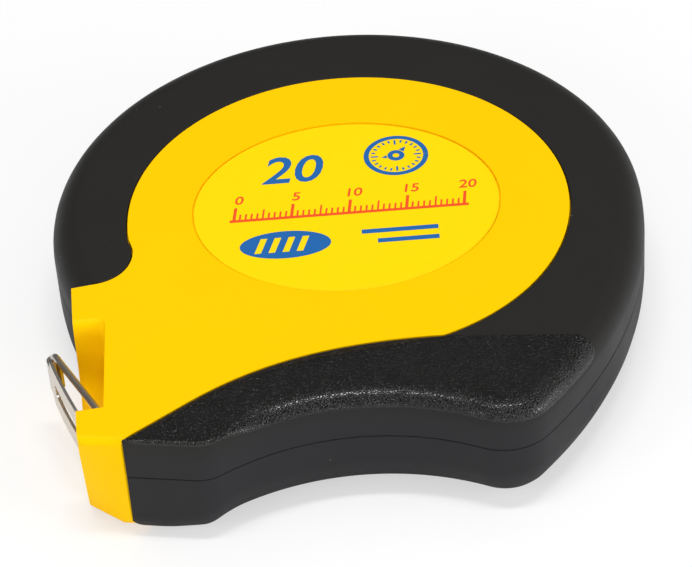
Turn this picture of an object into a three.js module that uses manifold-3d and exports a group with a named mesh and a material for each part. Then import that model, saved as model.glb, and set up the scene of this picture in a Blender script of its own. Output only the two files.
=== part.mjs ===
// Closed-case long steel tape with a fold-out crank and a 3:1 planetary rewind.
// Millimetres, +Z up. The case lies on its crank side, with the round face panel up.
// The model is drawn round the drum axis, and the last lines centre it on its footprint.
import * as THREE from 'three';
import { mergeVertices } from 'three/addons/utils/BufferGeometryUtils.js';
import Module from 'manifold-3d';

const wasm = await Module();
wasm.setup();

const deg = Math.PI / 180;
const vec = (x, y) => new THREE.Vector2(x, y);

// Case: outline
const caseRadius = 68.5;            // round body, concentric with the drum
const rearHeight = 17.4;            // the parting plane between the two halves
const postToEdge = 4.7;             // screw post to the outside of the round body
const flankRadius = 115;            // long curve from the round body to the horn
const gripRadius = 55.7;            // hollow for the fingers
const gripShift = -1;               // middle of the hollow, left of the drum axis
const gripDrop = 3.2;               // top of the hollow, below the round body
const hornRadius = 9;               // right end of the finger hollow
const heelRadius = 8;               // left end of the finger hollow
const tipAngle = 203.1 * deg;       // where the nose leaves the round body
const noseInset = 7.7;              // lip corner, in from the left of the round body
const noseDrop = 0;                 // and below its lowest point
const chinOffset = vec(9.2, -10.2); // from the lip corner to the corner under it
const noseSideAngle = -10.5 * deg;

// Case: edges and walls
const ringRound = 7;                // soft upper edge of the black ring
const rearRound = 6.5;              // soft lower edge
const crispEdge = 0.8;              // edges of the nose
const coverThickness = 1.6;         // black cover moulded over the shells
const shellWall = 2;                // side wall of the shells
const shellFloor = 1.6;             // rear skin of the shells
const panelThickness = 3;           // face panel
const seam = 0.3;                   // gap at every seam between case pieces
const coverSteps = 3;               // facets across a rounded edge of a cover
const coreSteps = 2;                // and of the shell inside it

// Face panel
const ringWidth = 17.6;             // black ring left of the panel
const panelShift = -5.85;           // panel centre below the drum axis
const labelShift = -3.85;
const labelHalfWidth = 35.6;
const labelHalfHeight = 31.2;
const labelRecess = 0.6;
const labelThickness = 0.4;
const lobeOffset = vec(5.7, 0.97);  // from the tip to where the neck's edge starts to turn
const lobeRise = vec(13.8, 10.9);   // from the tip to where it joins the round panel
const lobeCurve = vec(4, 5);        // pull of that turn, across and along
const gripEdgeOffset = vec(13.6, 10); // from the chin along the edge between panel and grip
const gripEdgeRight = 16;           // right end of that edge
const gripEdgeWidth = 16.1;         // and its height above the round body's lowest point
const gripEdgeLow = 16;             // pull of its curve at the nose
const gripEdgeHigh = 26;            // and at the top

// Cove in the nose and the mouth of the tape
const coveDepthFromTip = 5.6;       // how far the cove cuts in from the nose face
const coveLength = 30;              // along the nose
const coveFloorLength = 15;         // flat part of its floor
const coveTurn = 2;                 // how far its rising end leans
const lipThickness = 0.5;           // lip in front of it
const noseBlockWidth = 14.8;        // the solid nose block, from the lip corner towards the drum
const noseBlockBack = 2.4;          // and past the tip, towards the round body
const mouthWidth = 4.4;
const mouthClearance = 0.8;         // above and below the blade
const mouthDepth = 2;               // wide part, past the folded clip
const channelWidth = 2.6;

// Tape
const bladeWidth = 13;
const bladeThickness = 0.25;
const tapeLength = 20000;
const tapeThickness = 0.2;
const windingLooseness = 1.05;
const bladeTravel = 55;
const bladeGrip = 7;                // blade left in the channel at full travel

// Drum
const hubWall = 2.3;
const flangeThickness = 1.1;
const frontFlange = 1;
const drumClearance = 0.5;          // drum to recess and to ring gear
const drumFrontGap = 0.6;           // drum to face panel
const drumSideGap = 1.5;            // flange to the nose block
const bladeClearance = 0.3;
const webThickness = 1.8;

// Axle and running fits
const axleRadius = 3;
const axleSkin = 0.9;               // panel left in front of the axle
const axleSeat = 0.2;               // how far it stands into the recess floor
const running = 0.3;                // radial and axial gap of turning fits
const bossRadius = 6;
const bossGap = 0.4;
const bossSideGap = 1;

// Planetary stage
const gearModule = 0.9;
const sunTeeth = 20;
const planetTeeth = 10;
const ringTeeth = sunTeeth + 2 * planetTeeth;
const planetCount = 3;
const pressureAngle = 25 * deg;
const gearBacklash = 0.15;
const gearWidth = 7.4;
const ringGearRim = 2.3;
const ringGearAbove = 0.4;          // the ring gear is this much wider than the planets
const carrierThickness = 2;
const planetPinRadius = 1.5;
const pinHeadRadius = 2.6;
const pinHeadHeight = 0.8;
const shaftRadius = 5;
const shaftSquare = 6.6;

// Crank
const recessDepth = 6.6;
const recessSideGap = 3;            // crank's end to the side of its recess
const recessWall = 2;
const recessFloor = 1.6;
const crankEnd = 6.5;               // crank past the handle's hinge
const crankWidth = 16;
const crankThickness = 3.2;
const crankHubRadius = 9;
const handleRadius = 35.5;          // hinge of the handle from the crank axis
const handleLength = 23;
const handleWidth = 8.6;
const handleThickness = 4.2;
const handlePinRadius = 0.9;
const pinFit = 0.15;                // pins and rivets in their holes
const handlePinShort = 0.5;         // each end of the pin lies this deep in the crank
const crankScrewHead = 4.6;
const crankScrewHeight = 1.2;
const crankScrewEdge = 0.6;

// Case screws
const screwRadius = 1.2;
const screwHeadRadius = 2.7;
const screwHeadHeight = 2;
const screwSunk = 2.6;
const screwPost = 3.2;
const screwPostGap = 1.4;           // drum flange to a screw post
const screwBase = 4.6;
const screwBaseHeight = 1.8;        // plastic over the screw's head
const screwPoint = 1;               // length of its point
const screwEnd = 2;                 // from its point to the inside of the panel
const screwAngles = [0, 60, 120, 180];
const hornScrewAcross = 30;         // the fifth screw, near the horn
const hornScrewInset = 2.5;

// Pull ring and claw
const pivotOffset = vec(4.4, 5);    // ring pivot from the lip corner
const ringLength = 24;              // between the pivots of the ring and the claw
const ringAngle = 117.3 * deg;      // as it lies beside the nose
const wireRadius = 0.8;
const ringCorner = 2;
const ringEndGap = 0.4;
const knuckleWall = 0.6;
const cornerGap = 0.5;              // plate to the ring's corner
const knuckleGap = 0.25;
const clipLength = 6;
const clipLeaf = 0.5;
const rivetRadius = 0.9;
const rivetHead = 1.5;
const rivetHeadHeight = 0.45;
const clawAngle = -74.6 * deg;
const clawLength = 23.5;
const clawInset = 0.3;              // the claw and clip are this much narrower than the blade, each side
const clawThickness = 0.9;
const clawCorner = 3;
const clawSlot = 1.7;               // half width of its slot
const clawSlotStart = 5;
const clawSlotEnd = 3.5;            // from the free end

// Radii that follow from the sizes above
const pitch = (teeth) => gearModule * teeth / 2;
const addendum = 0.8 * gearModule;  // stub teeth
const dedendum = gearModule;
const ringGearRadius = pitch(ringTeeth) + dedendum + ringGearRim;
const hubRadius = ringGearRadius + drumClearance + hubWall;
const woundArea = tapeLength * tapeThickness * windingLooseness;
const coilRadius = Math.sqrt(hubRadius ** 2 + woundArea / Math.PI);
const screwCircle = caseRadius - postToEdge - screwPost;
const flangeRadius = screwCircle - screwPost - screwPostGap;
const baySide = flangeRadius + drumSideGap;
const panelRadius = caseRadius - ringWidth;
const crankReach = handleRadius + crankEnd;
const recessRadius = crankReach + recessSideGap;
const reach = 2 * caseRadius;       // past the case in every direction

// Levels that follow, from the rear face up
const recessTop = recessDepth + recessFloor;
const drumRear = recessTop + drumClearance;
const bayRear = drumRear + flangeThickness;
const bladeRear = bayRear + bladeClearance;
const bladeTop = bladeRear + bladeWidth;
const bladeMiddle = bladeRear + bladeWidth / 2;
const bayFront = bladeTop + bladeClearance;
const panelInside = bayFront + frontFlange + drumFrontGap;
const caseHeight = panelInside + panelThickness;
const coverInset = coverThickness + seam;
const cavityInset = coverInset + shellWall;
const cavityFloor = coverInset + shellFloor;

// Corners that follow
const offset = (from, by) => from.clone().add(by);
const tip = vec(caseRadius * Math.cos(tipAngle), caseRadius * Math.sin(tipAngle));
const lipCorner = vec(noseInset - caseRadius, -caseRadius - noseDrop);
const chinCorner = offset(lipCorner, chinOffset);
const gripCentre = vec(gripShift, -caseRadius - gripDrop - gripRadius);
const lobeStart = offset(tip, lobeOffset);
const lobeTop = offset(tip, lobeRise);
const gripEdgeStart = offset(chinCorner, gripEdgeOffset);
const gripEdgeTop = vec(gripEdgeRight, gripEdgeWidth - caseRadius);
const lipBack = lipCorner.y + lipThickness;
const hornScrew = vec(hornScrewAcross, hornScrewInset - caseRadius);
const ringPivot = offset(lipCorner, pivotOffset);
const clawPivot = offset(ringPivot, vec(ringLength * Math.cos(ringAngle), ringLength * Math.sin(ringAngle)));

const plastics = {
  yellow: [0xffd400, 0.38, 0],
  black: [0x2a2828, 0.6, 0],
  print: [0xffe600, 0.3, 0],
  gear: [0xf2efe6, 0.5, 0],
  grey: [0x8d8f92, 0.5, 0],
};
const metals = {
  steel: [0xb9bcc0, 0.3, 1],
  chrome: [0xd8d9db, 0.15, 1],
  tape: [0xf4d21f, 0.4, 0.2],
};

// ---------------------------------------------------------------- solids

function closed(geometry) {
  const bare = geometry.clone();
  bare.deleteAttribute('normal');
  bare.deleteAttribute('uv');
  const merged = mergeVertices(bare, 1e-4);
  const corner = Array.from(merged.index.array);
  const position = merged.attributes.position;
  const kept = [];
  let volume = 0;
  for (let i = 0; i < corner.length; i += 3) {
    const [a, b, c] = corner.slice(i, i + 3);
    if (a === b || b === c || c === a) continue;
    kept.push(a, b, c);
    const pa = new THREE.Vector3().fromBufferAttribute(position, a);
    const pb = new THREE.Vector3().fromBufferAttribute(position, b);
    const pc = new THREE.Vector3().fromBufferAttribute(position, c);
    volume += pa.dot(pb.cross(pc));
  }
  if (volume < 0) kept.reverse();
  merged.setIndex(kept);
  return merged;
}

function solid(geometry) {
  const shape = closed(geometry);
  const mesh = new wasm.Mesh({
    numProp: 3,
    vertProperties: new Float32Array(shape.attributes.position.array),
    triVerts: new Uint32Array(shape.index.array),
  });
  return new wasm.Manifold(mesh);
}

function surface(body) {
  const mesh = body.getMesh();
  const geometry = new THREE.BufferGeometry();
  geometry.setAttribute('position', new THREE.BufferAttribute(mesh.vertProperties, 3));
  geometry.setIndex(new THREE.BufferAttribute(mesh.triVerts, 1));
  return geometry;
}

function joined(...bodies) {
  return bodies.reduce((sum, next) => sum.add(next));
}

function cut(body, ...tools) {
  return tools.reduce((rest, tool) => rest.subtract(tool), body);
}

function prism(shape, low, high, curveSegments = 12) {
  const geometry = new THREE.ExtrudeGeometry(shape, { depth: high - low, bevelEnabled: false, curveSegments });
  return solid(geometry.translate(0, 0, low));
}

function polygon(points, low, high) {
  return prism(new THREE.Shape(points), low, high);
}

function slab(x0, x1, y0, y1, low, high) {
  return polygon([vec(x0, y0), vec(x1, y0), vec(x1, y1), vec(x0, y1)], low, high);
}

function disc(radius, low, high, segments = 48, x = 0, y = 0) {
  const geometry = new THREE.CylinderGeometry(radius, radius, high - low, segments);
  return solid(geometry.rotateX(Math.PI / 2).translate(x, y, (low + high) / 2));
}

function turned(profile, segments = 48) {
  const points = profile.map(([radius, height]) => vec(radius, height));
  return new THREE.LatheGeometry(points, segments).rotateX(Math.PI / 2);
}

function ringProfile(inner, outer, low, high) {
  return [[inner, low], [outer, low], [outer, high], [inner, high], [inner, low]];
}

// ---------------------------------------------------------------- case outline

function arc(centre, radius, from, to, steps) {
  const points = [];
  for (let i = 0; i <= steps; i += 1) {
    const angle = from + (to - from) * i / steps;
    points.push(vec(centre.x + radius * Math.cos(angle), centre.y + radius * Math.sin(angle)));
  }
  return points;
}

function bearing(centre, point) {
  return Math.atan2(point.y - centre.y, point.x - centre.x);
}

// The right-hand meeting point of two circles
function meeting(a, radiusA, b, radiusB) {
  const gap = a.distanceTo(b);
  const along = (gap ** 2 + radiusA ** 2 - radiusB ** 2) / (2 * gap);
  const across = Math.sqrt(radiusA ** 2 - along ** 2);
  const dir = b.clone().sub(a).divideScalar(gap);
  const one = vec(a.x + dir.x * along - dir.y * across, a.y + dir.y * along + dir.x * across);
  const two = vec(a.x + dir.x * along + dir.y * across, a.y + dir.y * along - dir.x * across);
  return one.x > two.x ? one : two;
}

// Stations run anticlockwise. Each has its place, the zone it belongs to and how far along that zone it is.
function outlineStations() {
  const origin = vec(0, 0);
  const side = vec(Math.cos(noseSideAngle), Math.sin(noseSideAngle));
  const inward = vec(-side.y, side.x);
  const rail = chinCorner.clone().addScaledVector(inward, heelRadius);
  const toGrip = gripCentre.clone().sub(rail);
  const foot = toGrip.dot(side);
  const across = toGrip.lengthSq() - foot ** 2;
  const heel = rail.clone().addScaledVector(side, foot - Math.sqrt((gripRadius + heelRadius) ** 2 - across));
  const flankCentre = vec(caseRadius - flankRadius, 0);
  const horn = meeting(flankCentre, flankRadius - hornRadius, gripCentre, gripRadius + hornRadius);
  const stations = [];
  const add = (zone, points, dropFirst) => {
    points.forEach((place, i) => {
      if (!(dropFirst && i === 0)) stations.push({ place, zone, along: i / Math.max(points.length - 1, 1) });
    });
  };
  add('tip', [tip]);
  add('lip', [lipCorner]);
  add('chin', [chinCorner]);
  add('heel', arc(heel, heelRadius, noseSideAngle - Math.PI / 2, bearing(heel, gripCentre), 3));
  add('grip', arc(gripCentre, gripRadius, bearing(gripCentre, heel), bearing(gripCentre, horn), 9), true);
  add('horn', arc(horn, hornRadius, bearing(horn, gripCentre), bearing(flankCentre, horn), 5), true);
  add('flank', arc(flankCentre, flankRadius, bearing(flankCentre, horn), 0, 5), true);
  add('ring', arc(origin, caseRadius, 0, tipAngle, 30).slice(0, -1), true);
  return stations;
}

// A point moved in from the outline, square to both of its edges
function moved(points, i, inset) {
  const count = points.length;
  const before = points[(i + count - 1) % count];
  const here = points[i];
  const after = points[(i + 1) % count];
  const one = here.clone().sub(before).normalize();
  const two = after.clone().sub(here).normalize();
  const normal = vec(-one.y - two.y, one.x + two.x);
  return here.clone().addScaledVector(normal, inset / (1 + one.dot(two)));
}

const stations = outlineStations();
const outline = stations.map((station) => station.place);

function inner(inset) {
  return outline.map((_, i) => moved(outline, i, inset));
}

const mix = (a, b, t) => a + (b - a) * t;
const between = (low, high) => slab(-reach, reach, -reach, reach, low, high);
const smooth = (t) => THREE.MathUtils.smoothstep(t, 0, 1);

function coverTop({ zone, along }) {
  if (zone === 'chin' || zone === 'heel') return crispEdge;
  if (zone === 'grip') return mix(crispEdge, ringRound, smooth(along * 2.2));
  return ringRound;
}

function noseTop() {
  return crispEdge;
}

function coverRear() {
  return rearRound;
}

function noseRear({ zone }) {
  return zone === 'lip' || zone === 'tip' ? crispEdge : rearRound;
}

// A closed body on the case outline: rounded rear edge, upright wall, rounded upper edge
function rounded(inset, low, high, topOf, rearOf, steps) {
  const rings = [];
  const edge = (radius) => Math.max(radius - inset, crispEdge / 2);
  for (let k = 0; k <= steps; k += 1) {
    const a = 90 * deg * k / steps;
    rings.push(stations.map((station, i) => {
      const radius = edge(rearOf(station));
      const at = moved(outline, i, inset + radius * (1 - Math.sin(a)));
      return [at.x, at.y, low + radius * (1 - Math.cos(a))];
    }));
  }
  for (let k = steps; k >= 0; k -= 1) {
    const a = 90 * deg * k / steps;
    rings.push(stations.map((station, i) => {
      const radius = edge(topOf(station));
      const at = moved(outline, i, inset + radius * (1 - Math.sin(a)));
      return [at.x, at.y, high - radius * (1 - Math.cos(a))];
    }));
  }
  const count = stations.length;
  const index = [];
  for (let r = 0; r < rings.length - 1; r += 1) {
    for (let i = 0; i < count; i += 1) {
      const j = (i + 1) % count;
      index.push(r * count + i, r * count + j, (r + 1) * count + j);
      index.push(r * count + i, (r + 1) * count + j, (r + 1) * count + i);
    }
  }
  const flat = (ring) => ring.map(([x, y]) => vec(x, y));
  const last = (rings.length - 1) * count;
  THREE.ShapeUtils.triangulateShape(flat(rings[0]), []).forEach(([a, b, c]) => index.push(a, c, b));
  THREE.ShapeUtils.triangulateShape(flat(rings.at(-1)), [])
    .forEach(([a, b, c]) => index.push(last + a, last + b, last + c));
  const geometry = new THREE.BufferGeometry();
  geometry.setAttribute('position', new THREE.Float32BufferAttribute(rings.flat(2), 3));
  geometry.setIndex(index);
  return solid(geometry);
}

// The yellow area: face panel, neck and nose, as an upright column
function panelColumn(grow) {
  const edge = gripEdgeStart.clone().sub(chinCorner).normalize();
  const neck = new THREE.Shape();
  neck.moveTo(-reach, tip.y + grow);
  neck.lineTo(tip.x, tip.y + grow);
  neck.lineTo(lobeStart.x - grow / 2, lobeStart.y + grow);
  neck.bezierCurveTo(
    lobeStart.x + lobeCurve.x - grow, lobeStart.y + 1 + grow,
    lobeTop.x - grow, lobeTop.y - lobeCurve.y,
    lobeTop.x - grow, lobeTop.y,
  );
  neck.lineTo(0, lobeTop.y);
  neck.lineTo(gripEdgeTop.x, gripEdgeTop.y - grow);
  neck.bezierCurveTo(
    gripEdgeTop.x - gripEdgeHigh, gripEdgeTop.y - grow,
    gripEdgeStart.x + gripEdgeLow * edge.x, gripEdgeStart.y + gripEdgeLow * edge.y - grow,
    gripEdgeStart.x, gripEdgeStart.y - grow,
  );
  neck.lineTo(chinCorner.x + grow, chinCorner.y - grow / 2);
  neck.lineTo(chinCorner.x + grow, -reach);
  neck.lineTo(-reach, -reach);
  const round = disc(panelRadius + grow, -1, caseHeight + 1, 56, 0, panelShift);
  const belowPad = slab(-reach, reach, -reach, gripEdgeTop.y - grow, -2, caseHeight + 2);
  return joined(prism(neck, -1, caseHeight + 1, 8), cut(round, belowPad));
}

// ---------------------------------------------------------------- tape line

// The straight run leaves the wound tape on a tangent and passes the ring pivot.
const pivotAngle = bearing(vec(0, 0), ringPivot);
const bladeShift = bladeThickness + running;   // the sliding end lies beside the fixed run
const runRadius = coilRadius + running + bladeThickness / 2 + bladeShift;
const runLength = Math.sqrt(ringPivot.lengthSq() - runRadius ** 2);
const leaveAngle = pivotAngle + Math.acos(runRadius / ringPivot.length());
const runStart = vec(runRadius * Math.cos(leaveAngle), runRadius * Math.sin(leaveAngle));
const runDirection = ringPivot.clone().sub(runStart).divideScalar(runLength);
const runAngle = Math.atan2(runDirection.y, runDirection.x);
const outward = vec(-runDirection.y, runDirection.x);

// A box along the tape line: from and to are distances before the ring pivot
function alongTape(from, to, width, low, high, shift = 0) {
  const a = ringPivot.clone().addScaledVector(runDirection, -from).addScaledVector(outward, shift - width / 2);
  const b = ringPivot.clone().addScaledVector(runDirection, -to).addScaledVector(outward, shift - width / 2);
  const c = b.clone().addScaledVector(outward, width);
  const d = a.clone().addScaledVector(outward, width);
  return polygon([a, b, c, d], low, high);
}

// ---------------------------------------------------------------- case pieces

// The solid nose between the cover's wall and the drum
function noseBlock(grow, bayRadius, low, high) {
  const block = slab(-reach, lipCorner.x + noseBlockWidth + grow, -reach, tip.y + noseBlockBack + grow, low, high);
  return cut(block, disc(bayRadius, low - 1, high + 1));
}

function cavity() {
  const room = polygon(inner(cavityInset), cavityFloor, panelInside);
  return cut(room, noseBlock(shellWall, baySide, -1, caseHeight));
}

// Cut into the nose beside the tape: deepest behind the lip, rising in a curve towards the neck
function cove() {
  const floor = bladeRear - mouthClearance;
  const wall = lipCorner.x + coveDepthFromTip;
  const back = lipBack + coveLength;
  const profile = new THREE.Shape();
  profile.moveTo(back, caseHeight + 1);
  profile.lineTo(back, caseHeight);
  profile.quadraticCurveTo(back - coveTurn, floor + 1, lipBack + coveFloorLength, floor);
  profile.lineTo(lipBack, floor);
  profile.lineTo(lipBack, caseHeight + 1);
  const geometry = new THREE.ExtrudeGeometry(profile, { depth: reach, bevelEnabled: false, curveSegments: 8 });
  geometry.rotateX(Math.PI / 2).rotateZ(Math.PI / 2);
  return solid(geometry.translate(wall - reach, 0, 0));
}

function mouth() {
  const low = bladeRear - mouthClearance;
  const high = bladeRear + bladeWidth + mouthClearance;
  return joined(
    alongTape(-clipLength, clipLength + mouthDepth, mouthWidth, low, high),
    alongTape(clipLength, runLength, channelWidth, low, high, -bladeShift / 2),
  );
}

const screwPlaces = screwAngles
  .map((angle) => vec(screwCircle * Math.cos(angle * deg), screwCircle * Math.sin(angle * deg)))
  .concat([hornScrew]);
const screwHole = screwRadius + seam;
const screwHeadTop = screwSunk + screwHeadHeight;
const screwTip = panelInside - screwEnd;

function frontShell() {
  const yellow = rounded(0, 0, caseHeight, noseTop, noseRear, coreSteps).intersect(panelColumn(0));
  const core = rounded(coverInset, coverInset, caseHeight - coverInset, coverTop, coverRear, coreSteps);
  const below = cut(between(-1, rearHeight), noseBlock(0, baySide, -2, rearHeight));
  const labelRoom = ellipse(labelHalfWidth, labelHalfHeight, caseHeight - labelRecess, caseHeight + 1);
  let shell = cut(joined(yellow, core), cavity(), below, mouth(), cove(), labelRoom);
  const boss = disc(bossRadius, bayFront + bossGap, panelInside + 1, 32);
  const posts = screwPlaces.map(({ x, y }) => disc(screwPost, rearHeight, caseHeight, 12, x, y));
  shell = joined(shell, boss, joined(...posts).intersect(joined(core, yellow)));
  const holes = screwPlaces.map(({ x, y }) => disc(screwHole, rearHeight - 1, screwTip + seam, 8, x, y));
  return cut(shell, ...holes, disc(axleRadius + seam, bayFront, axleTop + seam, 32));
}

function rearShell() {
  const yellow = rounded(0, 0, caseHeight, noseTop, noseRear, coreSteps).intersect(panelColumn(0));
  const core = rounded(coverInset, coverInset, caseHeight - coverInset, coverTop, coverRear, coreSteps);
  const above = between(rearHeight, caseHeight + 1);
  const dish = disc(recessRadius + recessWall, 0, recessTop, 48);
  const baseTop = screwHeadTop + screwBaseHeight;
  const bases = screwPlaces.map(({ x, y }) => disc(screwBase, coverInset, baseTop, 12, x, y));
  const posts = screwPlaces.map(({ x, y }) => disc(screwPost, coverInset, rearHeight, 12, x, y));
  const added = joined(dish, ...bases, ...posts).intersect(joined(core, yellow));
  let shell = joined(cut(joined(yellow, core), cavity(), above), added);
  const holes = screwPlaces.map(({ x, y }) => disc(screwHole, -1, rearHeight + 1, 8, x, y));
  const wells = screwPlaces.map(({ x, y }) => disc(screwHeadRadius + seam, -1, screwHeadTop, 12, x, y));
  shell = cut(shell, noseBlock(seam, baySide - seam, -1, caseHeight), mouth(), ...holes, ...wells);
  const recess = disc(recessRadius, -1, recessDepth, 48);
  return cut(shell, recess, disc(shaftRadius + running, recessDepth - 1, recessTop + 1, 32));
}

function cover(front) {
  const body = rounded(0, 0, caseHeight, coverTop, coverRear, coverSteps);
  const hollowTop = caseHeight - coverThickness;
  const core = rounded(coverThickness, coverThickness, hollowTop, coverTop, coverRear, coreSteps);
  const half = front
    ? between(-1, rearHeight)
    : between(rearHeight, caseHeight + 1);
  const shell = cut(body, half, core, panelColumn(seam));
  if (front) return shell;
  const wells = screwPlaces.map(({ x, y }) => disc(screwHeadRadius + 2 * seam, -1, cavityFloor, 12, x, y));
  return cut(shell, ...wells);
}

function ellipse(halfWidth, halfHeight, low, high) {
  const shape = new THREE.Shape();
  shape.absellipse(0, labelShift, halfWidth, halfHeight, 0, 2 * Math.PI);
  return prism(shape, low, high, 32);
}

function caseScrew() {
  const body = solid(turned([
    [0, screwSunk], [screwHeadRadius, screwSunk], [screwHeadRadius, screwHeadTop],
    [screwRadius, screwHeadTop], [screwRadius, screwTip - screwPoint], [0, screwTip],
  ], 14));
  const arm = screwHeadRadius * 0.7;
  const slotHalf = 0.4;
  const slotTop = screwSunk + screwHeadHeight / 2;
  return cut(
    body,
    slab(-arm, arm, -slotHalf, slotHalf, 0, slotTop),
    slab(-slotHalf, slotHalf, -arm, arm, 0, slotTop),
  );
}

// ---------------------------------------------------------------- drum and gears

const axleTop = caseHeight - labelRecess - axleSkin;
const carrierRear = recessTop + running;
const carrierTop = carrierRear + carrierThickness;
const gearRear = carrierTop + running;
const gearTop = gearRear + gearWidth;
const webRear = bayFront - webThickness;
const axleRear = recessTop - axleSeat;

const planetOrbit = pitch(sunTeeth) + pitch(planetTeeth);

// Involute outline; the tooth at the start angle is centred on it
function gearOutline(teeth, rootRadius, tipRadius, pitchThickness, start) {
  const pitchRadius = pitch(teeth);
  const baseRadius = pitchRadius * Math.cos(pressureAngle);
  const involute = (a) => Math.tan(a) - a;
  const halfAngle = (radius) => {
    const a = Math.acos(Math.min(baseRadius / radius, 1));
    return pitchThickness / 2 / pitchRadius + involute(pressureAngle) - involute(a);
  };
  const points = [];
  const add = (radius, angle) => points.push(vec(radius * Math.cos(angle), radius * Math.sin(angle)));
  for (let i = 0; i < teeth; i += 1) {
    const middle = start + 2 * Math.PI * i / teeth;
    add(rootRadius, middle - halfAngle(rootRadius));
    add(tipRadius, middle - halfAngle(tipRadius));
    add(tipRadius, middle + halfAngle(tipRadius));
    add(rootRadius, middle + halfAngle(rootRadius));
  }
  return points;
}

function gearWithBore(teeth, start, bore, low, high) {
  const r = pitch(teeth);
  const thickness = Math.PI * gearModule / 2 - gearBacklash;
  const shape = new THREE.Shape(gearOutline(teeth, r - dedendum, r + addendum, thickness, start));
  const hole = new THREE.Path();
  hole.absarc(0, 0, bore, 0, 2 * Math.PI, true);
  shape.holes.push(hole);
  return prism(shape, low, high, 12);
}

function ringGear() {
  const r = pitch(ringTeeth);
  const space = Math.PI * gearModule / 2 + gearBacklash;
  const shape = new THREE.Shape();
  shape.absarc(0, 0, ringGearRadius, 0, 2 * Math.PI);
  const start = Math.PI / ringTeeth;
  shape.holes.push(new THREE.Path(gearOutline(ringTeeth, r - addendum, r + dedendum, space, start)));
  return prism(shape, recessTop, gearTop + ringGearAbove, 32);
}

function drum() {
  const innerRadius = hubRadius - hubWall;
  return turned([
    [innerRadius, drumRear], [flangeRadius, drumRear], [flangeRadius, bayRear], [hubRadius, bayRear],
    [hubRadius, bayFront], [axleRadius + running, bayFront], [axleRadius + running, webRear],
    [innerRadius, webRear], [innerRadius, drumRear],
  ]);
}

function planetPin() {
  return turned([
    [0, carrierRear], [planetPinRadius, carrierRear], [planetPinRadius, gearTop + running],
    [pinHeadRadius, gearTop + running], [pinHeadRadius, gearTop + running + pinHeadHeight],
    [0, gearTop + running + pinHeadHeight],
  ], 16);
}

const planetAngles = Array.from({ length: planetCount }, (_, i) => 2 * Math.PI * i / planetCount);

// A gap of each planet faces a sun tooth
function planetStart(angle) {
  const shift = (sunTeeth * angle / (2 * Math.PI)) % 1;
  return angle + Math.PI + (shift + 0.5) * 2 * Math.PI / planetTeeth;
}

// ---------------------------------------------------------------- crank

const crankTop = recessDepth - 2 * running;
const crankRear = crankTop - crankThickness;
const hingeHeight = recessDepth - running - handleThickness / 2;
const windowHalf = handleWidth / 2 + running;
const windowEnd = handleRadius + handleThickness / 2 + running;

function carrier() {
  const plate = disc(pitch(ringTeeth) - addendum - 2 * running, carrierRear, carrierTop, 40);
  const shaft = disc(shaftRadius, recessDepth - running, carrierRear, 32);
  const half = shaftSquare / 2;
  const drive = slab(-half, half, -half, half, crankRear + running, recessDepth);
  const pinHoles = planetAngles.map((a) => disc(
    planetPinRadius + running, 0, caseHeight, 16, planetOrbit * Math.cos(a), planetOrbit * Math.sin(a),
  ));
  const bore = disc(axleRadius + running, axleRear - running, caseHeight, 32);
  return cut(joined(plate, shaft, drive), bore, disc(screwHole, 0, recessDepth, 16), ...pinHoles);
}

function crankArm() {
  const half = crankWidth / 2;
  const hub = disc(crankHubRadius, crankRear, crankTop, 40);
  const shape = new THREE.Shape();
  shape.moveTo(0, -half);
  shape.lineTo(crankReach - half, -half);
  shape.absarc(crankReach - half, 0, half, -Math.PI / 2, Math.PI / 2);
  shape.lineTo(0, half);
  const square = shaftSquare / 2 + running;
  const pinHole = solid(handlePinShape(handlePinRadius + pinFit, crankWidth + 2));
  const windowStart = handleRadius - handleLength - running;
  return cut(
    joined(hub, prism(shape, crankRear, crankTop, 16)),
    slab(-square, square, -square, square, 0, caseHeight),
    slab(windowStart, windowEnd, -windowHalf, windowHalf, 0, caseHeight),
    pinHole,
  );
}

function foldHandle() {
  const half = handleThickness / 2;
  const profile = new THREE.Shape();
  const freeEnd = handleRadius - handleLength + half;
  profile.moveTo(freeEnd, hingeHeight - half);
  profile.lineTo(handleRadius, hingeHeight - half);
  profile.absarc(handleRadius, hingeHeight, half, -Math.PI / 2, Math.PI / 2);
  profile.lineTo(freeEnd, hingeHeight + half);
  profile.absarc(freeEnd, hingeHeight, half, Math.PI / 2, 3 * Math.PI / 2);
  const eye = new THREE.Path();
  eye.absarc(handleRadius, hingeHeight, handlePinRadius + pinFit, 0, 2 * Math.PI, true);
  profile.holes.push(eye);
  const settings = { depth: handleWidth, bevelEnabled: false, curveSegments: 8 };
  const geometry = new THREE.ExtrudeGeometry(profile, settings);
  return solid(geometry.rotateX(Math.PI / 2).translate(0, handleWidth / 2, 0));
}

function handlePinShape(radius, length) {
  return new THREE.CylinderGeometry(radius, radius, length, 16).translate(handleRadius, 0, hingeHeight);
}

function crankScrew() {
  const headRear = crankRear - crankScrewHeight;
  const point = recessDepth - running;
  return turned([
    [0, headRear], [crankScrewHead - crankScrewEdge, headRear], [crankScrewHead, headRear + crankScrewEdge],
    [crankScrewHead, crankRear], [screwRadius, crankRear], [screwRadius, point], [0, point],
  ], 24);
}

// ---------------------------------------------------------------- tape end, ring and claw

const knuckleBore = wireRadius + knuckleGap;
const knuckleRadius = knuckleBore + knuckleWall;
const knuckleHalf = bladeWidth / 2 - 2 * wireRadius - clawInset;

// A rolled knuckle round the wire, and the room that its plate leaves for the ring's corners
const knuckle = () => disc(knuckleRadius, -knuckleHalf, knuckleHalf, 20);
const knuckleHole = () => disc(knuckleBore, -bladeWidth, bladeWidth, 20);

function cornerRoom(past) {
  const around = knuckleRadius + 1;
  return cut(
    slab(-around, knuckleRadius + past, -around, around, -bladeWidth, bladeWidth),
    slab(-2 * around, 2 * around, -2 * around, 2 * around, -knuckleHalf, knuckleHalf),
  );
}

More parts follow.
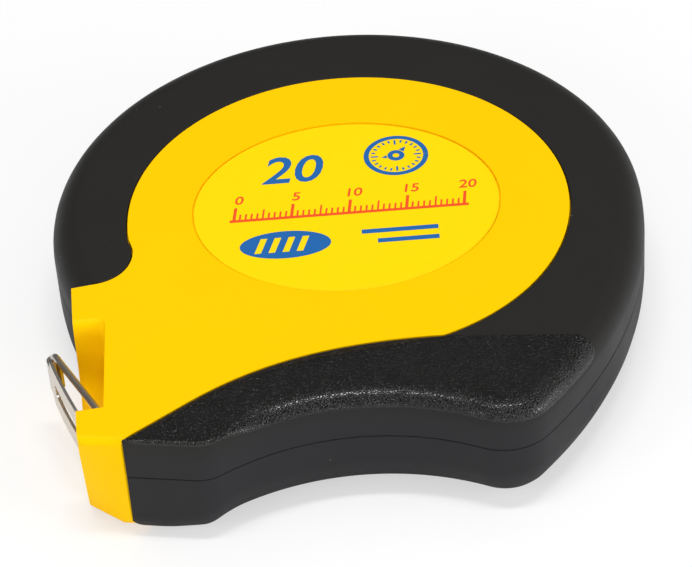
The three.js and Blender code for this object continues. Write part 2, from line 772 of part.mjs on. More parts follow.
// Local frame: the pivot is the origin and +X runs back along the tape
function endClip() {
  const leafHalf = bladeWidth / 2 - clawInset;
  const gap = bladeThickness / 2 + running;
  const thick = gap + clipLeaf;
  const leaves = slab(knuckleBore, clipLength, -thick, thick, -leafHalf, leafHalf);
  const slit = slab(knuckleRadius, clipLength + 1, -gap, gap, -bladeWidth, bladeWidth);
  return cut(joined(leaves, knuckle()), slit, knuckleHole(), cornerRoom(cornerGap), ...rivetHoles());
}

const rivetPlace = (knuckleRadius + clipLength) / 2;
const rivetHeights = [-bladeWidth / 4, bladeWidth / 4];

function rivetHoles() {
  const radius = rivetRadius + pinFit;
  return rivetHeights.map((z) => (
    solid(new THREE.CylinderGeometry(radius, radius, bladeWidth, 16).translate(rivetPlace, 0, z))
  ));
}

function clipRivet() {
  const seat = bladeThickness / 2 + running + clipLeaf;
  const tip = seat + rivetHeadHeight;
  const crown = rivetHead - rivetHeadHeight;
  const points = [
    [0, -tip], [crown, -tip], [rivetHead, -seat], [rivetRadius, -seat],
    [rivetRadius, seat], [rivetHead, seat], [crown, tip], [0, tip],
  ].map(([r, h]) => vec(r, h));
  return new THREE.LatheGeometry(points, 12).translate(rivetPlace, 0, 0);
}

function tapeEnd() {
  const thick = bladeThickness / 2;
  const tall = bladeWidth / 2;
  const body = slab(knuckleRadius + running, bladeTravel + bladeGrip, -thick, thick, -tall, tall);
  return cut(body, ...rivetHoles());
}

// Bent wire, its ends meeting inside the clip; +X runs from the ring pivot to the claw pivot
function pullRing() {
  const half = bladeWidth / 2 - wireRadius;
  const path = new THREE.CurvePath();
  const point = (x, z) => new THREE.Vector3(x, 0, z);
  const straight = (a, b) => path.add(new THREE.LineCurve3(a, b));
  const bend = (a, corner, b) => path.add(new THREE.QuadraticBezierCurve3(a, corner, b));
  straight(point(0, ringEndGap / 2), point(0, half - ringCorner));
  bend(point(0, half - ringCorner), point(0, half), point(ringCorner, half));
  straight(point(ringCorner, half), point(ringLength - ringCorner, half));
  bend(point(ringLength - ringCorner, half), point(ringLength, half), point(ringLength, half - ringCorner));
  straight(point(ringLength, half - ringCorner), point(ringLength, ringCorner - half));
  bend(point(ringLength, ringCorner - half), point(ringLength, -half), point(ringLength - ringCorner, -half));
  straight(point(ringLength - ringCorner, -half), point(ringCorner, -half));
  bend(point(ringCorner, -half), point(0, -half), point(0, ringCorner - half));
  straight(point(0, ringCorner - half), point(0, -ringEndGap / 2));
  const section = new THREE.Shape();
  section.absarc(0, 0, wireRadius, 0, 2 * Math.PI);
  return new THREE.ExtrudeGeometry(section, { steps: 52, curveSegments: 4, extrudePath: path });
}

// Folding hook plate with a long slot; the pivot is the origin and +X runs to its free end
function clawPlate() {
  const half = bladeWidth / 2 - clawInset;
  const outerFace = -knuckleRadius;
  const plate = new THREE.Shape();
  plate.moveTo(0, -half);
  plate.lineTo(clawLength - clawCorner, -half);
  plate.quadraticCurveTo(clawLength, -half, clawLength, clawCorner - half);
  plate.lineTo(clawLength, half - clawCorner);
  plate.quadraticCurveTo(clawLength, half, clawLength - clawCorner, half);
  plate.lineTo(0, half);
  const slot = new THREE.Path();
  slot.absarc(clawSlotStart + clawSlot, 0, clawSlot, 1.5 * Math.PI, 0.5 * Math.PI, true);
  slot.absarc(clawLength - clawSlotEnd - clawSlot, 0, clawSlot, 0.5 * Math.PI, -0.5 * Math.PI, true);
  plate.holes.push(slot);
  const settings = { depth: clawThickness, bevelEnabled: false, curveSegments: 8 };
  const sheet = new THREE.ExtrudeGeometry(plate, settings);
  sheet.rotateX(Math.PI / 2).translate(0, outerFace + clawThickness, 0);
  return cut(joined(solid(sheet), knuckle()), knuckleHole(), cornerRoom(cornerGap));
}

// ---------------------------------------------------------------- assembly

const tape = new THREE.Group();

function place(name, shape, [color, roughness, metalness], parent = tape) {
  const geometry = shape.isBufferGeometry ? closed(shape) : surface(shape);
  const mesh = new THREE.Mesh(geometry, new THREE.MeshStandardMaterial({ color, roughness, metalness }));
  mesh.name = name;
  parent.add(mesh);
  return mesh;
}

place('front_shell', frontShell(), plastics.yellow);
place('rear_shell', rearShell(), plastics.yellow);
place('front_cover', cover(true), plastics.black);
place('rear_cover', cover(false), plastics.black);
place('label_plate', ellipse(labelHalfWidth - seam, labelHalfHeight - seam,
  caseHeight - labelRecess, caseHeight - labelRecess + labelThickness), plastics.print);
screwPlaces.forEach(({ x, y }, i) => {
  place(`case_screw_${i + 1}`, caseScrew(), metals.steel).position.set(x, y, 0);
});

place('axle_pin', disc(axleRadius, axleRear, axleTop, 24), metals.steel);
place('drum', drum(), plastics.grey);
place('drum_front_flange',
  turned(ringProfile(bossRadius + bossSideGap, flangeRadius, bayFront, bayFront + frontFlange)), plastics.grey);
place('tape_coil',
  turned(ringProfile(hubRadius + bladeClearance, coilRadius, bladeRear, bladeTop)), metals.tape);
place('tape_run',
  alongTape(clipLength + 1, runLength, bladeThickness, bladeRear, bladeTop, -bladeShift), metals.tape);
place('sun_gear', gearWithBore(sunTeeth, 0, axleRadius + running, gearRear, webRear), plastics.gear);
place('ring_gear', ringGear(), plastics.gear);
place('carrier', carrier(), plastics.gear);
planetAngles.forEach((angle, i) => {
  const seat = new THREE.Group();
  seat.position.set(planetOrbit * Math.cos(angle), planetOrbit * Math.sin(angle), 0);
  tape.add(seat);
  const bore = planetPinRadius + running;
  const planet = gearWithBore(planetTeeth, planetStart(angle), bore, gearRear, gearTop);
  place(`planet_gear_${i + 1}`, planet, plastics.gear, seat);
  place(`planet_pin_${i + 1}`, planetPin(), metals.steel, seat);
});

place('crank_arm', crankArm(), plastics.black);
place('crank_screw', crankScrew(), metals.steel);
place('fold_handle', foldHandle(), plastics.grey);
place('handle_pin', handlePinShape(handlePinRadius, crankWidth - 2 * handlePinShort), metals.steel);

const blade = new THREE.Group();
blade.position.set(ringPivot.x, ringPivot.y, bladeMiddle);
blade.rotation.z = runAngle + Math.PI;
tape.add(blade);
place('tape_end', tapeEnd(), metals.tape, blade);
place('end_clip', endClip(), metals.chrome, blade);
rivetHeights.forEach((z, i) => {
  place(`clip_rivet_${i + 1}`, clipRivet(), metals.steel, blade).position.z = z;
});

const ring = new THREE.Group();
ring.position.set(ringPivot.x, ringPivot.y, bladeMiddle);
ring.rotation.z = ringAngle;
tape.add(ring);
place('pull_ring', pullRing(), metals.chrome, ring);

const claw = new THREE.Group();
claw.position.set(clawPivot.x, clawPivot.y, bladeMiddle);
claw.rotation.z = clawAngle;
tape.add(claw);
place('claw_plate', clawPlate(), metals.chrome, claw);

// Origin: the middle of the footprint, on the rear face
tape.updateMatrixWorld(true);
const box = new THREE.Box3().setFromObject(tape, true);
const middle = box.getCenter(new THREE.Vector3());
tape.position.set(-middle.x, -middle.y, -box.min.z);

export default tape;
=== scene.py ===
import math

import bmesh
import bpy
from mathutils import Matrix, Vector
from mathutils.geometry import interpolate_bezier


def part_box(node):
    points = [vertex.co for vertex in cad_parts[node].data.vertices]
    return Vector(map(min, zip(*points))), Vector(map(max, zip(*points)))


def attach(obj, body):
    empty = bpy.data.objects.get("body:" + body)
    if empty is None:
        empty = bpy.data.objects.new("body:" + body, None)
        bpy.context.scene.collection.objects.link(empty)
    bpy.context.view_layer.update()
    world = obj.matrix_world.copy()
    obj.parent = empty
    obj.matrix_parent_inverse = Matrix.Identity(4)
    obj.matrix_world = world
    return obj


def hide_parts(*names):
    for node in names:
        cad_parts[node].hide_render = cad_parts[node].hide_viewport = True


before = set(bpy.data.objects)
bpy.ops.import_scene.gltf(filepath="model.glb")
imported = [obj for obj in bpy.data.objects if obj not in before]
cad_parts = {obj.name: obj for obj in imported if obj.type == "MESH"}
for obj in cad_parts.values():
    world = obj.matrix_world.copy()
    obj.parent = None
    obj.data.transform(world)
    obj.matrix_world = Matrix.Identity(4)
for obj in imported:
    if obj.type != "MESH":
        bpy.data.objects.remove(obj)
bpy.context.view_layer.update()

# Everything is drawn in millimetres round the drum axis, rear face at z 0, and set into the frame at the end
axleLow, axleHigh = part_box("axle_pin")
drumAxis = Vector(((axleLow.x + axleHigh.x) / 2, (axleLow.y + axleHigh.y) / 2, 0))
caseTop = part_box("front_cover")[1].z * 1000
toFrame = Matrix.Translation(drumAxis) @ Matrix.Scale(0.001, 4)


def srgb(hexColour):
    channels = [int(hexColour[i:i + 2], 16) / 255 for i in (1, 3, 5)]
    return [c / 12.92 if c <= 0.04045 else ((c + 0.055) / 1.055) ** 2.4 for c in channels] + [1]


def addNode(tree, kind, settings=None, inputs=None):
    node = tree.nodes.new(kind)
    for name, value in (settings or {}).items():
        setattr(node, name, value)
    for socket, value in (inputs or {}).items():
        if isinstance(value, bpy.types.NodeSocket):
            tree.links.new(value, node.inputs[socket])
        else:
            node.inputs[socket].default_value = value
    return node


def newMaterial(name, colour, roughness, metallic=0.0, **sockets):
    material = bpy.data.materials.new(name)
    material.use_nodes = True
    shader = material.node_tree.nodes["Principled BSDF"]
    shader.inputs["Base Color"].default_value = srgb(colour)
    shader.inputs["Roughness"].default_value = roughness
    shader.inputs["Metallic"].default_value = metallic
    for socket, value in sockets.items():
        shader.inputs[socket.replace("_", " ")].default_value = value
    place = addNode(material.node_tree, "ShaderNodeTexCoord").outputs["Object"]
    return material, material.node_tree, shader, place


def plug(tree, value, shader, socket):
    tree.links.new(value, shader.inputs[socket])


# Finishes, each started from what the real material is

def mouldedYellowAbs():
    # ABS, injection moulded in a spark-eroded mould: deep yellow, satin, with a very fine even grain
    material, tree, shader, place = newMaterial(
        "mouldedYellowAbs", "#FFC900", 0.42, Specular_IOR_Level=0.03)
    # flow marks about 25 mm across
    flow = addNode(tree, "ShaderNodeTexNoise", inputs={"Vector": place, "Scale": 38, "Detail": 3})
    tint = addNode(tree, "ShaderNodeMix", {"data_type": "RGBA"}, {
        0: flow.outputs["Fac"], 6: srgb("#FFC700"), 7: srgb("#FFCC00")})
    plug(tree, tint.outputs[2], shader, "Base Color")
    rough = addNode(tree, "ShaderNodeMapRange", inputs={
        "Value": flow.outputs["Fac"], "To Min": 0.38, "To Max": 0.46})
    plug(tree, rough.outputs[0], shader, "Roughness")
    # eroded grain of 0.3 mm
    grain = addNode(tree, "ShaderNodeTexNoise", inputs={"Vector": place, "Scale": 3300, "Detail": 2})
    bump = addNode(tree, "ShaderNodeBump", inputs={
        "Strength": 0.12, "Distance": 0.00004, "Height": grain.outputs["Fac"]})
    plug(tree, bump.outputs[0], shader, "Normal")
    return material


def mouldedBlackRubber():
    # Thermoplastic rubber, moulded over the shells: near black and matt, with faint smears and a few specks
    # of dust;
    # the walls below the top are painted a little lighter than the top, as painted light for the floor's
    # reflection
    material, tree, shader, place = newMaterial(
        "mouldedBlackRubber", "#141314", 0.55, Specular_IOR_Level=0.14)
    # smears about 15 mm across
    cloud = addNode(tree, "ShaderNodeTexNoise", inputs={"Vector": place, "Scale": 60, "Detail": 5})
    height = addNode(tree, "ShaderNodeSeparateXYZ", inputs={0: place})
    # painted light: below the top the base colour turns to the lighter wall colours, a painted sheen
    # standing in for the floor's reflection on the walls
    paintedWallSheen = addNode(tree, "ShaderNodeMapRange", {"interpolation_type": "SMOOTHSTEP"}, {
        "Value": height.outputs["Z"], "From Min": 0.0275, "From Max": 0.0215})
    rough = addNode(tree, "ShaderNodeMapRange", inputs={
        "Value": cloud.outputs["Fac"], "From Min": 0.3, "From Max": 0.7, "To Min": 0.46, "To Max": 0.62})
    plug(tree, rough.outputs[0], shader, "Roughness")
    # wall colours: random smears, set lighter than the top colour as painted light
    smearAndWallSheen = addNode(tree, "ShaderNodeMix", {"data_type": "RGBA"}, {
        0: cloud.outputs["Fac"], 6: srgb("#232325"), 7: srgb("#2D2D2F")})
    base = addNode(tree, "ShaderNodeMix", {"data_type": "RGBA"}, {
        0: paintedWallSheen.outputs[0], 6: srgb("#272624"), 7: smearAndWallSheen.outputs[2]})
    # cells of about 4 mm; only some of them hold a speck
    dust = addNode(tree, "ShaderNodeTexVoronoi", inputs={"Vector": place, "Scale": 260})
    speck = addNode(tree, "ShaderNodeMapRange", inputs={
        "Value": dust.outputs["Distance"], "From Min": 0.03, "From Max": 0.055, "To Min": 1, "To Max": 0})
    stray = addNode(tree, "ShaderNodeMapRange", inputs={
        "Value": dust.outputs["Color"], "From Min": 0.62, "From Max": 0.66})
    both = addNode(tree, "ShaderNodeMath", {"operation": "MULTIPLY"}, {
        0: speck.outputs[0], 1: stray.outputs[0]})
    tint = addNode(tree, "ShaderNodeMix", {"data_type": "RGBA"}, {
        0: both.outputs[0], 6: base.outputs[2], 7: srgb("#5A5856")})
    plug(tree, tint.outputs[2], shader, "Base Color")
    # grain of 0.45 mm
    grain = addNode(tree, "ShaderNodeTexNoise", inputs={"Vector": place, "Scale": 2200, "Detail": 3})
    bump = addNode(tree, "ShaderNodeBump", inputs={
        "Strength": 0.16, "Distance": 0.00006, "Height": grain.outputs["Fac"]})
    plug(tree, bump.outputs[0], shader, "Normal")
    return material


def leatherGrainRubber():
    # The same rubber from an etched mould: flat-topped pebbles of 0.5 mm with narrow valleys, so that a
    # lamp's reflection breaks up into glints along the round edge
    material, tree, shader, place = newMaterial(
        "leatherGrainRubber", "#0F0E0D", 0.3, Specular_IOR_Level=0.5)
    warp = addNode(tree, "ShaderNodeTexNoise", inputs={"Vector": place, "Scale": 1200, "Detail": 2})
    bend = addNode(tree, "ShaderNodeVectorMath", {"operation": "MULTIPLY_ADD"}, {
        0: warp.outputs["Color"], 1: (0.0006, 0.0006, 0.0006), 2: place})
    pebble = addNode(tree, "ShaderNodeTexVoronoi", {"feature": "DISTANCE_TO_EDGE"}, {
        "Vector": bend.outputs[0], "Scale": 1900})
    dome = addNode(tree, "ShaderNodeMapRange", {"interpolation_type": "SMOOTHSTEP"}, {
        "Value": pebble.outputs["Distance"], "From Max": 0.22})
    fine = addNode(tree, "ShaderNodeTexNoise", inputs={"Vector": place, "Scale": 1500, "Detail": 3})
    height = addNode(tree, "ShaderNodeMath", {"operation": "MULTIPLY_ADD"}, {
        0: fine.outputs["Fac"], 1: 0.9, 2: dome.outputs[0]})
    bump = addNode(tree, "ShaderNodeBump", inputs={
        "Strength": 0.8, "Distance": 0.00009, "Height": height.outputs[0]})
    plug(tree, bump.outputs[0], shader, "Normal")
    rough = addNode(tree, "ShaderNodeMapRange", inputs={
        "Value": dome.outputs[0], "To Min": 0.34, "To Max": 0.16})
    plug(tree, rough.outputs[0], shader, "Roughness")
    return material


def printedVinyl():
    # Vinyl film, screen printed: a lemon yellow brighter than the case, smooth under its varnish
    material, tree, shader, place = newMaterial(
        "printedVinylFilm", "#FFD900", 0.34, Specular_IOR_Level=0.08)
    # mottle in the ink, 1.4 mm
    ink = addNode(tree, "ShaderNodeTexNoise", inputs={"Vector": place, "Scale": 700, "Detail": 2})
    tint = addNode(tree, "ShaderNodeMix", {"data_type": "RGBA"}, {
        0: ink.outputs["Fac"], 6: srgb("#FFD700"), 7: srgb("#FFDB00")})
    plug(tree, tint.outputs[2], shader, "Base Color")
    bump = addNode(tree, "ShaderNodeBump", inputs={
        "Strength": 0.05, "Distance": 0.00003, "Height": ink.outputs["Fac"]})
    plug(tree, bump.outputs[0], shader, "Normal")
    return material


def screenInk(name, colour, worn):
    # Screen ink: flat colour with the faint mottle of the mesh, 0.4 mm
    material, tree, shader, place = newMaterial(name, colour, 0.34, Specular_IOR_Level=0.2)
    mesh = addNode(tree, "ShaderNodeTexNoise", inputs={"Vector": place, "Scale": 2500, "Detail": 2})
    tint = addNode(tree, "ShaderNodeMix", {"data_type": "RGBA"}, {
        0: mesh.outputs["Fac"], 6: srgb(colour), 7: srgb(worn)})
    plug(tree, tint.outputs[2], shader, "Base Color")
    return material


def platedSteel(name, colour, low, high, scratch):
    # Steel sheet and wire, plated: bright with fine drawn lines and a little cloudiness
    material, tree, shader, place = newMaterial(name, colour, low, 1.0)
    # cloudiness of 2.4 mm
    cloud = addNode(tree, "ShaderNodeTexNoise", inputs={"Vector": place, "Scale": 420, "Detail": 4})
    rough = addNode(tree, "ShaderNodeMapRange", inputs={
        "Value": cloud.outputs["Fac"], "To Min": low, "To Max": high})
    plug(tree, rough.outputs[0], shader, "Roughness")
    stretch = addNode(tree, "ShaderNodeMapping", inputs={"Vector": place, "Scale": (1, 1, 14)})
    lines = addNode(tree, "ShaderNodeTexNoise", inputs={
        "Vector": stretch.outputs[0], "Scale": 1500, "Detail": 2})
    bump = addNode(tree, "ShaderNodeBump", inputs={
        "Strength": scratch, "Distance": 0.00003, "Height": lines.outputs["Fac"]})
    plug(tree, bump.outputs[0], shader, "Normal")
    return material


def mouldedPlastic(name, colour, other, roughness, grain):
    # Moulded engineering plastic: even colour, slight clouding, a fine satin surface
    material, tree, shader, place = newMaterial(name, colour, roughness)
    # clouding of 8 mm
    cloud = addNode(tree, "ShaderNodeTexNoise", inputs={"Vector": place, "Scale": 120, "Detail": 3})
    tint = addNode(tree, "ShaderNodeMix", {"data_type": "RGBA"}, {
        0: cloud.outputs["Fac"], 6: srgb(colour), 7: srgb(other)})
    plug(tree, tint.outputs[2], shader, "Base Color")
    # surface texture of 0.5 mm
    fine = addNode(tree, "ShaderNodeTexNoise", inputs={"Vector": place, "Scale": 2000, "Detail": 2})
    bump = addNode(tree, "ShaderNodeBump", inputs={
        "Strength": grain, "Distance": 0.00006, "Height": fine.outputs["Fac"]})
    plug(tree, bump.outputs[0], shader, "Normal")
    return material


finishes = {
    "yellow": mouldedYellowAbs(),
    "black": mouldedBlackRubber(),
    "leather": leatherGrainRubber(),
    "vinyl": printedVinyl(),
    "blueInk": screenInk("blueScreenInk", "#1E62A8", "#2569AE"),
    "redInk": screenInk("redScreenInk", "#F0501E", "#F45A26"),
    "yellowInk": screenInk("yellowScreenInk", "#FFD900", "#FFDC0A"),
    "blackInk": screenInk("blackScreenInk", "#1C1C1E", "#242426"),
    "nickel": platedSteel("nickelPlatedSteel", "#D4CEC6", 0.28, 0.4, 0.12),
    "zinc": platedSteel("zincPlatedSteel", "#B9BCC0", 0.25, 0.42, 0.2),
    "enamel": mouldedPlastic("enamelledTapeSteel", "#F4D21F", "#F7D82C", 0.28, 0.05),
    "acetal": mouldedPlastic("mouldedWhiteAcetal", "#F2EFE6", "#E9E6DC", 0.4, 0.1),
    "grey": mouldedPlastic("mouldedGreyPolypropylene", "#8D8F92", "#85878A", 0.48, 0.2),
    "crank": mouldedPlastic("mouldedBlackAbs", "#1B1A1B", "#232223", 0.45, 0.2),
}
print("finishes made:", len(finishes))


# Shared modelling

def inScene(name, data):
    made = bpy.data.objects.new(name, data)
    bpy.context.scene.collection.objects.link(made)
    return made


def newPiece(name, bm, body, materials, nodes=(), sharp=35):
    move(bm, toFrame)
    bm.normal_update()
    for face in bm.faces:
        # level faces of 30 square millimetres and more stay flat
        face.smooth = face.calc_area() < 3e-5 or abs(face.normal.z) < 0.9999
    for edge in bm.edges:
        edge.smooth = len(edge.link_faces) == 2 and edge.calc_face_angle() < math.radians(sharp)
    mesh = bpy.data.meshes.new(name)
    bm.to_mesh(mesh)
    bm.free()
    piece = inScene(name, mesh)
    for material in materials:
        mesh.materials.append(finishes[material])
    level = piece.modifiers.new("even shading", "WEIGHTED_NORMAL")
    level.keep_sharp = True
    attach(piece, body)
    if nodes:
        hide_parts(*nodes)


def unit(angle):
    return Vector((math.cos(math.radians(angle)), math.sin(math.radians(angle))))


def leftOf(way):
    return Vector((-way.y, way.x))


def arcPoints(centre, radius, start, end, steps):
    angles = [math.radians(start + (end - start) * i / steps) for i in range(steps + 1)]
    return [Vector((centre[0] + radius * math.cos(a), centre[1] + radius * math.sin(a))) for a in angles]


def bearing(centre, point):
    return math.degrees(math.atan2(point[1] - centre[1], point[0] - centre[0]))


def move(bm, matrix):
    bmesh.ops.transform(bm, matrix=matrix, verts=bm.verts)


def onlyVerts(geometry):
    return [part for part in geometry if isinstance(part, bmesh.types.BMVert)]


def prism(points, low, high):
    bm = bmesh.new()
    corners = [bm.verts.new((p[0], p[1], low)) for p in points]
    base = bm.faces.new(corners)
    raised = bmesh.ops.extrude_face_region(bm, geom=[base])["geom"]
    bmesh.ops.translate(bm, vec=(0, 0, high - low), verts=onlyVerts(raised))
    bmesh.ops.recalc_face_normals(bm, faces=bm.faces)
    return bm


def disc(centre, radius, low, high, segments=128):
    return prism(arcPoints(centre, radius, 0, 360 - 360 / segments, segments - 1), low, high)


def block(x0, x1, y0, y1, low, high):
    return prism([(x0, y0), (x1, y0), (x1, y1), (x0, y1)], low, high)


def loose(name, bm):
    mesh = bpy.data.meshes.new(name)
    bm.to_mesh(mesh)
    bm.free()
    return inScene(name, mesh)


def cuts(*tools):
    return [("DIFFERENCE", tool) for tool in tools]


def carve(bm, steps, edge=0.0, angle=40, segments=3):
    # Joins or cuts other shapes one after another, then rounds every edge sharper than the angle
    body = loose("body", bm)
    tools = []
    for i, (operation, tool) in enumerate(steps):
        tools.append(loose("tool" + str(i), tool))
        cutter = body.modifiers.new("step" + str(i), "BOOLEAN")
        cutter.operation = operation
        cutter.solver = "EXACT"
        cutter.object = tools[-1]
    if edge:
        rounding = body.modifiers.new("edges", "BEVEL")
        rounding.width = edge
        rounding.segments = segments
        rounding.limit_method = "ANGLE"
        rounding.angle_limit = math.radians(angle)
    bpy.context.view_layer.update()
    made = body.evaluated_get(bpy.context.evaluated_depsgraph_get())
    result = bmesh.new()
    result.from_mesh(made.to_mesh())
    made.to_mesh_clear()
    # level faces come out exactly level
    for corner in result.verts:
        corner.co.z = round(corner.co.z, 4)
    for spare in [body] + tools:
        bpy.data.objects.remove(spare)
    return result


def turned(profile, steps=48, centre=(0, 0, 0), axis=(0, 0, 1)):
    # A profile of radius and height, spun once round
    bm = bmesh.new()
    ring = [bm.verts.new((r, 0, z)) for r, z in profile]
    lines = [bm.edges.new(pair) for pair in zip(ring, ring[1:])]
    bmesh.ops.spin(bm, geom=ring + lines, cent=(0, 0, 0), axis=(0, 0, 1), angle=math.tau, steps=steps,
                   use_merge=True)
    bmesh.ops.remove_doubles(bm, verts=bm.verts, dist=0.001)
    bmesh.ops.recalc_face_normals(bm, faces=bm.faces)
    turn = Vector((0, 0, 1)).rotation_difference(Vector(axis)).to_matrix().to_4x4()
    move(bm, Matrix.Translation(centre) @ turn)
    return bm


def merge(bm, other):
    mesh = bpy.data.meshes.new("part")
    other.to_mesh(mesh)
    other.free()
    bm.from_mesh(mesh)
    bpy.data.meshes.remove(mesh)


# Outline of the case: tangent arcs outside, and the edge of the yellow face inside

case = {
    "radius": 68.5,        # round body, concentric with the drum
    "parting": 17.4,       # line between the two covers
    "partGap": 0.03,       # each cover stops this far short of it
    "flankRadius": 112.5,
    "gripCentre": (-1, -127.4),
    "gripRadius": 55.7,
    "hornRadius": 12.0,
    "heelRadius": 8.0,
    "tipAngle": 203.1,
    "lip": (-60.75, -77.2),
    "lipLow": (-61.15, -68.5),   # the nose's face leans in from the lip to here
    "chin": (-51.6, -78.7),
    "noseAngle": -10.5,
    "frontRound": 7.0,
    "gripRound": 5.0,      # tighter over the grip
    "rearRound": 11.0,
    "noseRound": 5.8,      # rear edge under the nose and heel, and at the tip
    "crisp": 0.8,          # front edge at the chin
    "frontRunIn": 14,      # the front edge rounds off over this length from the start of the grip
    "rearLead": 14,        # the rear edge starts to grow this far before it, and takes this long
    "rearRunIn": 20,
    "padEnd": 58.4,        # the grained pad ends on the flank, this far below the drum axis
    "skin": 1.6,
    "seam": 0.3,
    "steps": (170, 44, 170, 34),   # sections along the grip side, the right, the top and the left
    "rearAhead": 0.34,     # how far the rear cover's inner edge runs before its outer one, as a share
    "aheadRise": 0.55,     # that builds up over this share of the grip side, and falls off over the next
    "aheadFall": 0.45,
}
panel = {
    "centre": (0.3, -5.2),
    "radius": 50.8,
    "lobeFrom": 185.5,           # bearing at which the edge leaves the round panel
    "lobeShoulder": (-49.2, -15.4),
    "lobeFoot": (-57.3, -25.95),
    "edgeStart": (-38, -68.7),   # where the edge under the face leaves the chin's straight line
    "edgeTop": (16, -52.4),
    "edgePull": (16, 26),
}


def tangentArcs():
    # Centres of the arcs that run into each other from the chin round the heel, grip and horn to the flank
    side = unit(case["noseAngle"])
    chin = Vector(case["chin"])
    grip = Vector(case["gripCentre"])
    rail = chin + leftOf(side) * case["heelRadius"]
    foot = (grip - rail).dot(side)
    across = (grip - rail).length_squared - foot ** 2
    heel = rail + side * (foot - math.sqrt((case["gripRadius"] + case["heelRadius"]) ** 2 - across))
    flank = Vector((case["radius"] - case["flankRadius"], 0))
    inFlank, offGrip = case["flankRadius"] - case["hornRadius"], case["gripRadius"] + case["hornRadius"]
    gap = (grip - flank).length
    near = (gap ** 2 + inFlank ** 2 - offGrip ** 2) / (2 * gap)
    up = (grip - flank) / gap
    horn = flank + up * near + leftOf(up) * math.sqrt(inFlank ** 2 - near ** 2)
    return heel, grip, horn, flank


heel, grip, horn, flank = tangentArcs()
tip = unit(case["tipAngle"]) * case["radius"]
padEndAngle = -math.degrees(math.asin(case["padEnd"] / case["flankRadius"]))
heelArc = arcPoints(heel, case["heelRadius"], case["noseAngle"] - 90, bearing(heel, grip), 10)
gripArc = arcPoints(grip, case["gripRadius"], bearing(grip, heel), bearing(grip, horn), 60)
hornArc = arcPoints(horn, case["hornRadius"], bearing(horn, grip), bearing(flank, horn), 24)
lowFlank = arcPoints(flank, case["flankRadius"], bearing(flank, horn), padEndAngle, 16)
highFlank = arcPoints(flank, case["flankRadius"], padEndAngle, 0, 40)


def bezier(a, b, c, d, steps):
    return [p.xy for p in interpolate_bezier(*[Vector((q[0], q[1], 0)) for q in (a, b, c, d)], steps)]


def underFace():
    # Lower edge of the yellow face, from the chin to the round panel
    chin, start, top = (Vector(p) for p in (case["chin"], panel["edgeStart"], panel["edgeTop"]))
    run = (start - chin).normalized()
    low, high = panel["edgePull"]
    curve = bezier(start, start + run * low, top - Vector((high, 0)), top, 40)
    drop = panel["centre"][1] - top.y
    junction = Vector((math.sqrt(panel["radius"] ** 2 - drop ** 2), top.y))
    return [chin] + curve + [junction]


def neckLobe():
    # Left edge of the neck: off the round panel, round a soft shoulder and down towards the tip
    start = arcPoints(panel["centre"], panel["radius"], panel["lobeFrom"], panel["lobeFrom"], 1)[0]
    shoulder, foot = Vector(panel["lobeShoulder"]), Vector(panel["lobeFoot"])
    upper = bezier(start, start + Vector((0.2, -2)), shoulder + Vector((0, 2)), shoulder, 8)
    lower = bezier(shoulder, shoulder - Vector((0, 5.5)), foot + Vector((5, 0.9)), foot, 28)
    return upper[1:] + lower[1:]


edgeUnder = underFace()
lobe = neckLobe()
roundStart = bearing(panel["centre"], edgeUnder[-1])
roundEnd = panel["lobeFrom"]

# Inner and outer edge of the black cover, in four runs: grip side, right, top and left
tracks = [
    (edgeUnder, [Vector(case["chin"])] + heelArc + gripArc[1:] + hornArc[1:] + lowFlank[1:]),
    (arcPoints(panel["centre"], panel["radius"], roundStart, 0, 40), highFlank),
    (arcPoints(panel["centre"], panel["radius"], 0, 180, 120),
     arcPoints((0, 0), case["radius"], 0, 180, 160)),
    (arcPoints(panel["centre"], panel["radius"], 180, roundEnd, 12) + lobe,
     arcPoints((0, 0), case["radius"], 180, case["tipAngle"], 24)),
]


def lengths(path):
    total = [0.0]
    for a, b in zip(path, path[1:]):
        total.append(total[-1] + (b - a).length)
    return total


def locate(total, goal):
    # The piece of a path that holds this length along it, and how far into that piece it falls
    i = next((k for k in range(1, len(total)) if total[k] >= goal - 1e-9), len(total) - 1)
    return i, (goal - total[i - 1]) / max(total[i] - total[i - 1], 1e-9)


def pointAt(path, total, share):
    i, part = locate(total, min(max(share, 0), 1) * total[-1])
    return path[i - 1].lerp(path[i], part)


measured = [(inner, lengths(inner), outer, lengths(outer)) for inner, outer in tracks]
gripFrom = lengths(tracks[0][1][:len(heelArc) + 1])[-1]
gripLength = lengths(gripArc)[-1]


def smooth(t):
    t = min(max(t, 0), 1)
    return t * t * (3 - 2 * t)


def blend(first, last, t):
    return first + (last - first) * smooth(t)


def station(track, share, ahead=0.0):
    # Where one section stands. Ahead lets the inner edge run before the outer one, square to the grip
    inner, innerTotal, outer, outerTotal = measured[track]
    step = 0.3 / outerTotal[-1]
    a, b = max(share - step, 0), min(share + step, 1)
    run = (pointAt(outer, outerTotal, b) - pointAt(outer, outerTotal, a)).normalized()
    within = share
    if track == 0:
        within += ahead * smooth(share / case["aheadRise"]) * min((1 - share) / case["aheadFall"], 1)
    a, b = max(within - step, 0), min(within + step, 1)
    edge = (pointAt(inner, innerTotal, b) - pointAt(inner, innerTotal, a)).normalized()
    front, rear = case["frontRound"], case["rearRound"]
    if track == 0:
        gone = share * outerTotal[-1] - gripFrom
        front = blend(case["crisp"], case["gripRound"], gone / case["frontRunIn"])
        rear = blend(case["noseRound"], rear, (gone + case["rearLead"]) / case["rearRunIn"])
    elif track == 1:
        front = blend(case["gripRound"], front, share)
    elif track == 3:
        rear = blend(rear, case["noseRound"], share)
    return {
        "in": pointAt(inner, innerTotal, within),
        "out": pointAt(outer, outerTotal, share),
        "inward": leftOf(run),
        "into": -leftOf(edge),
        "front": front,
        "rear": rear,
        "straight": smooth(share * 3) if track == 3 else 0,
    }


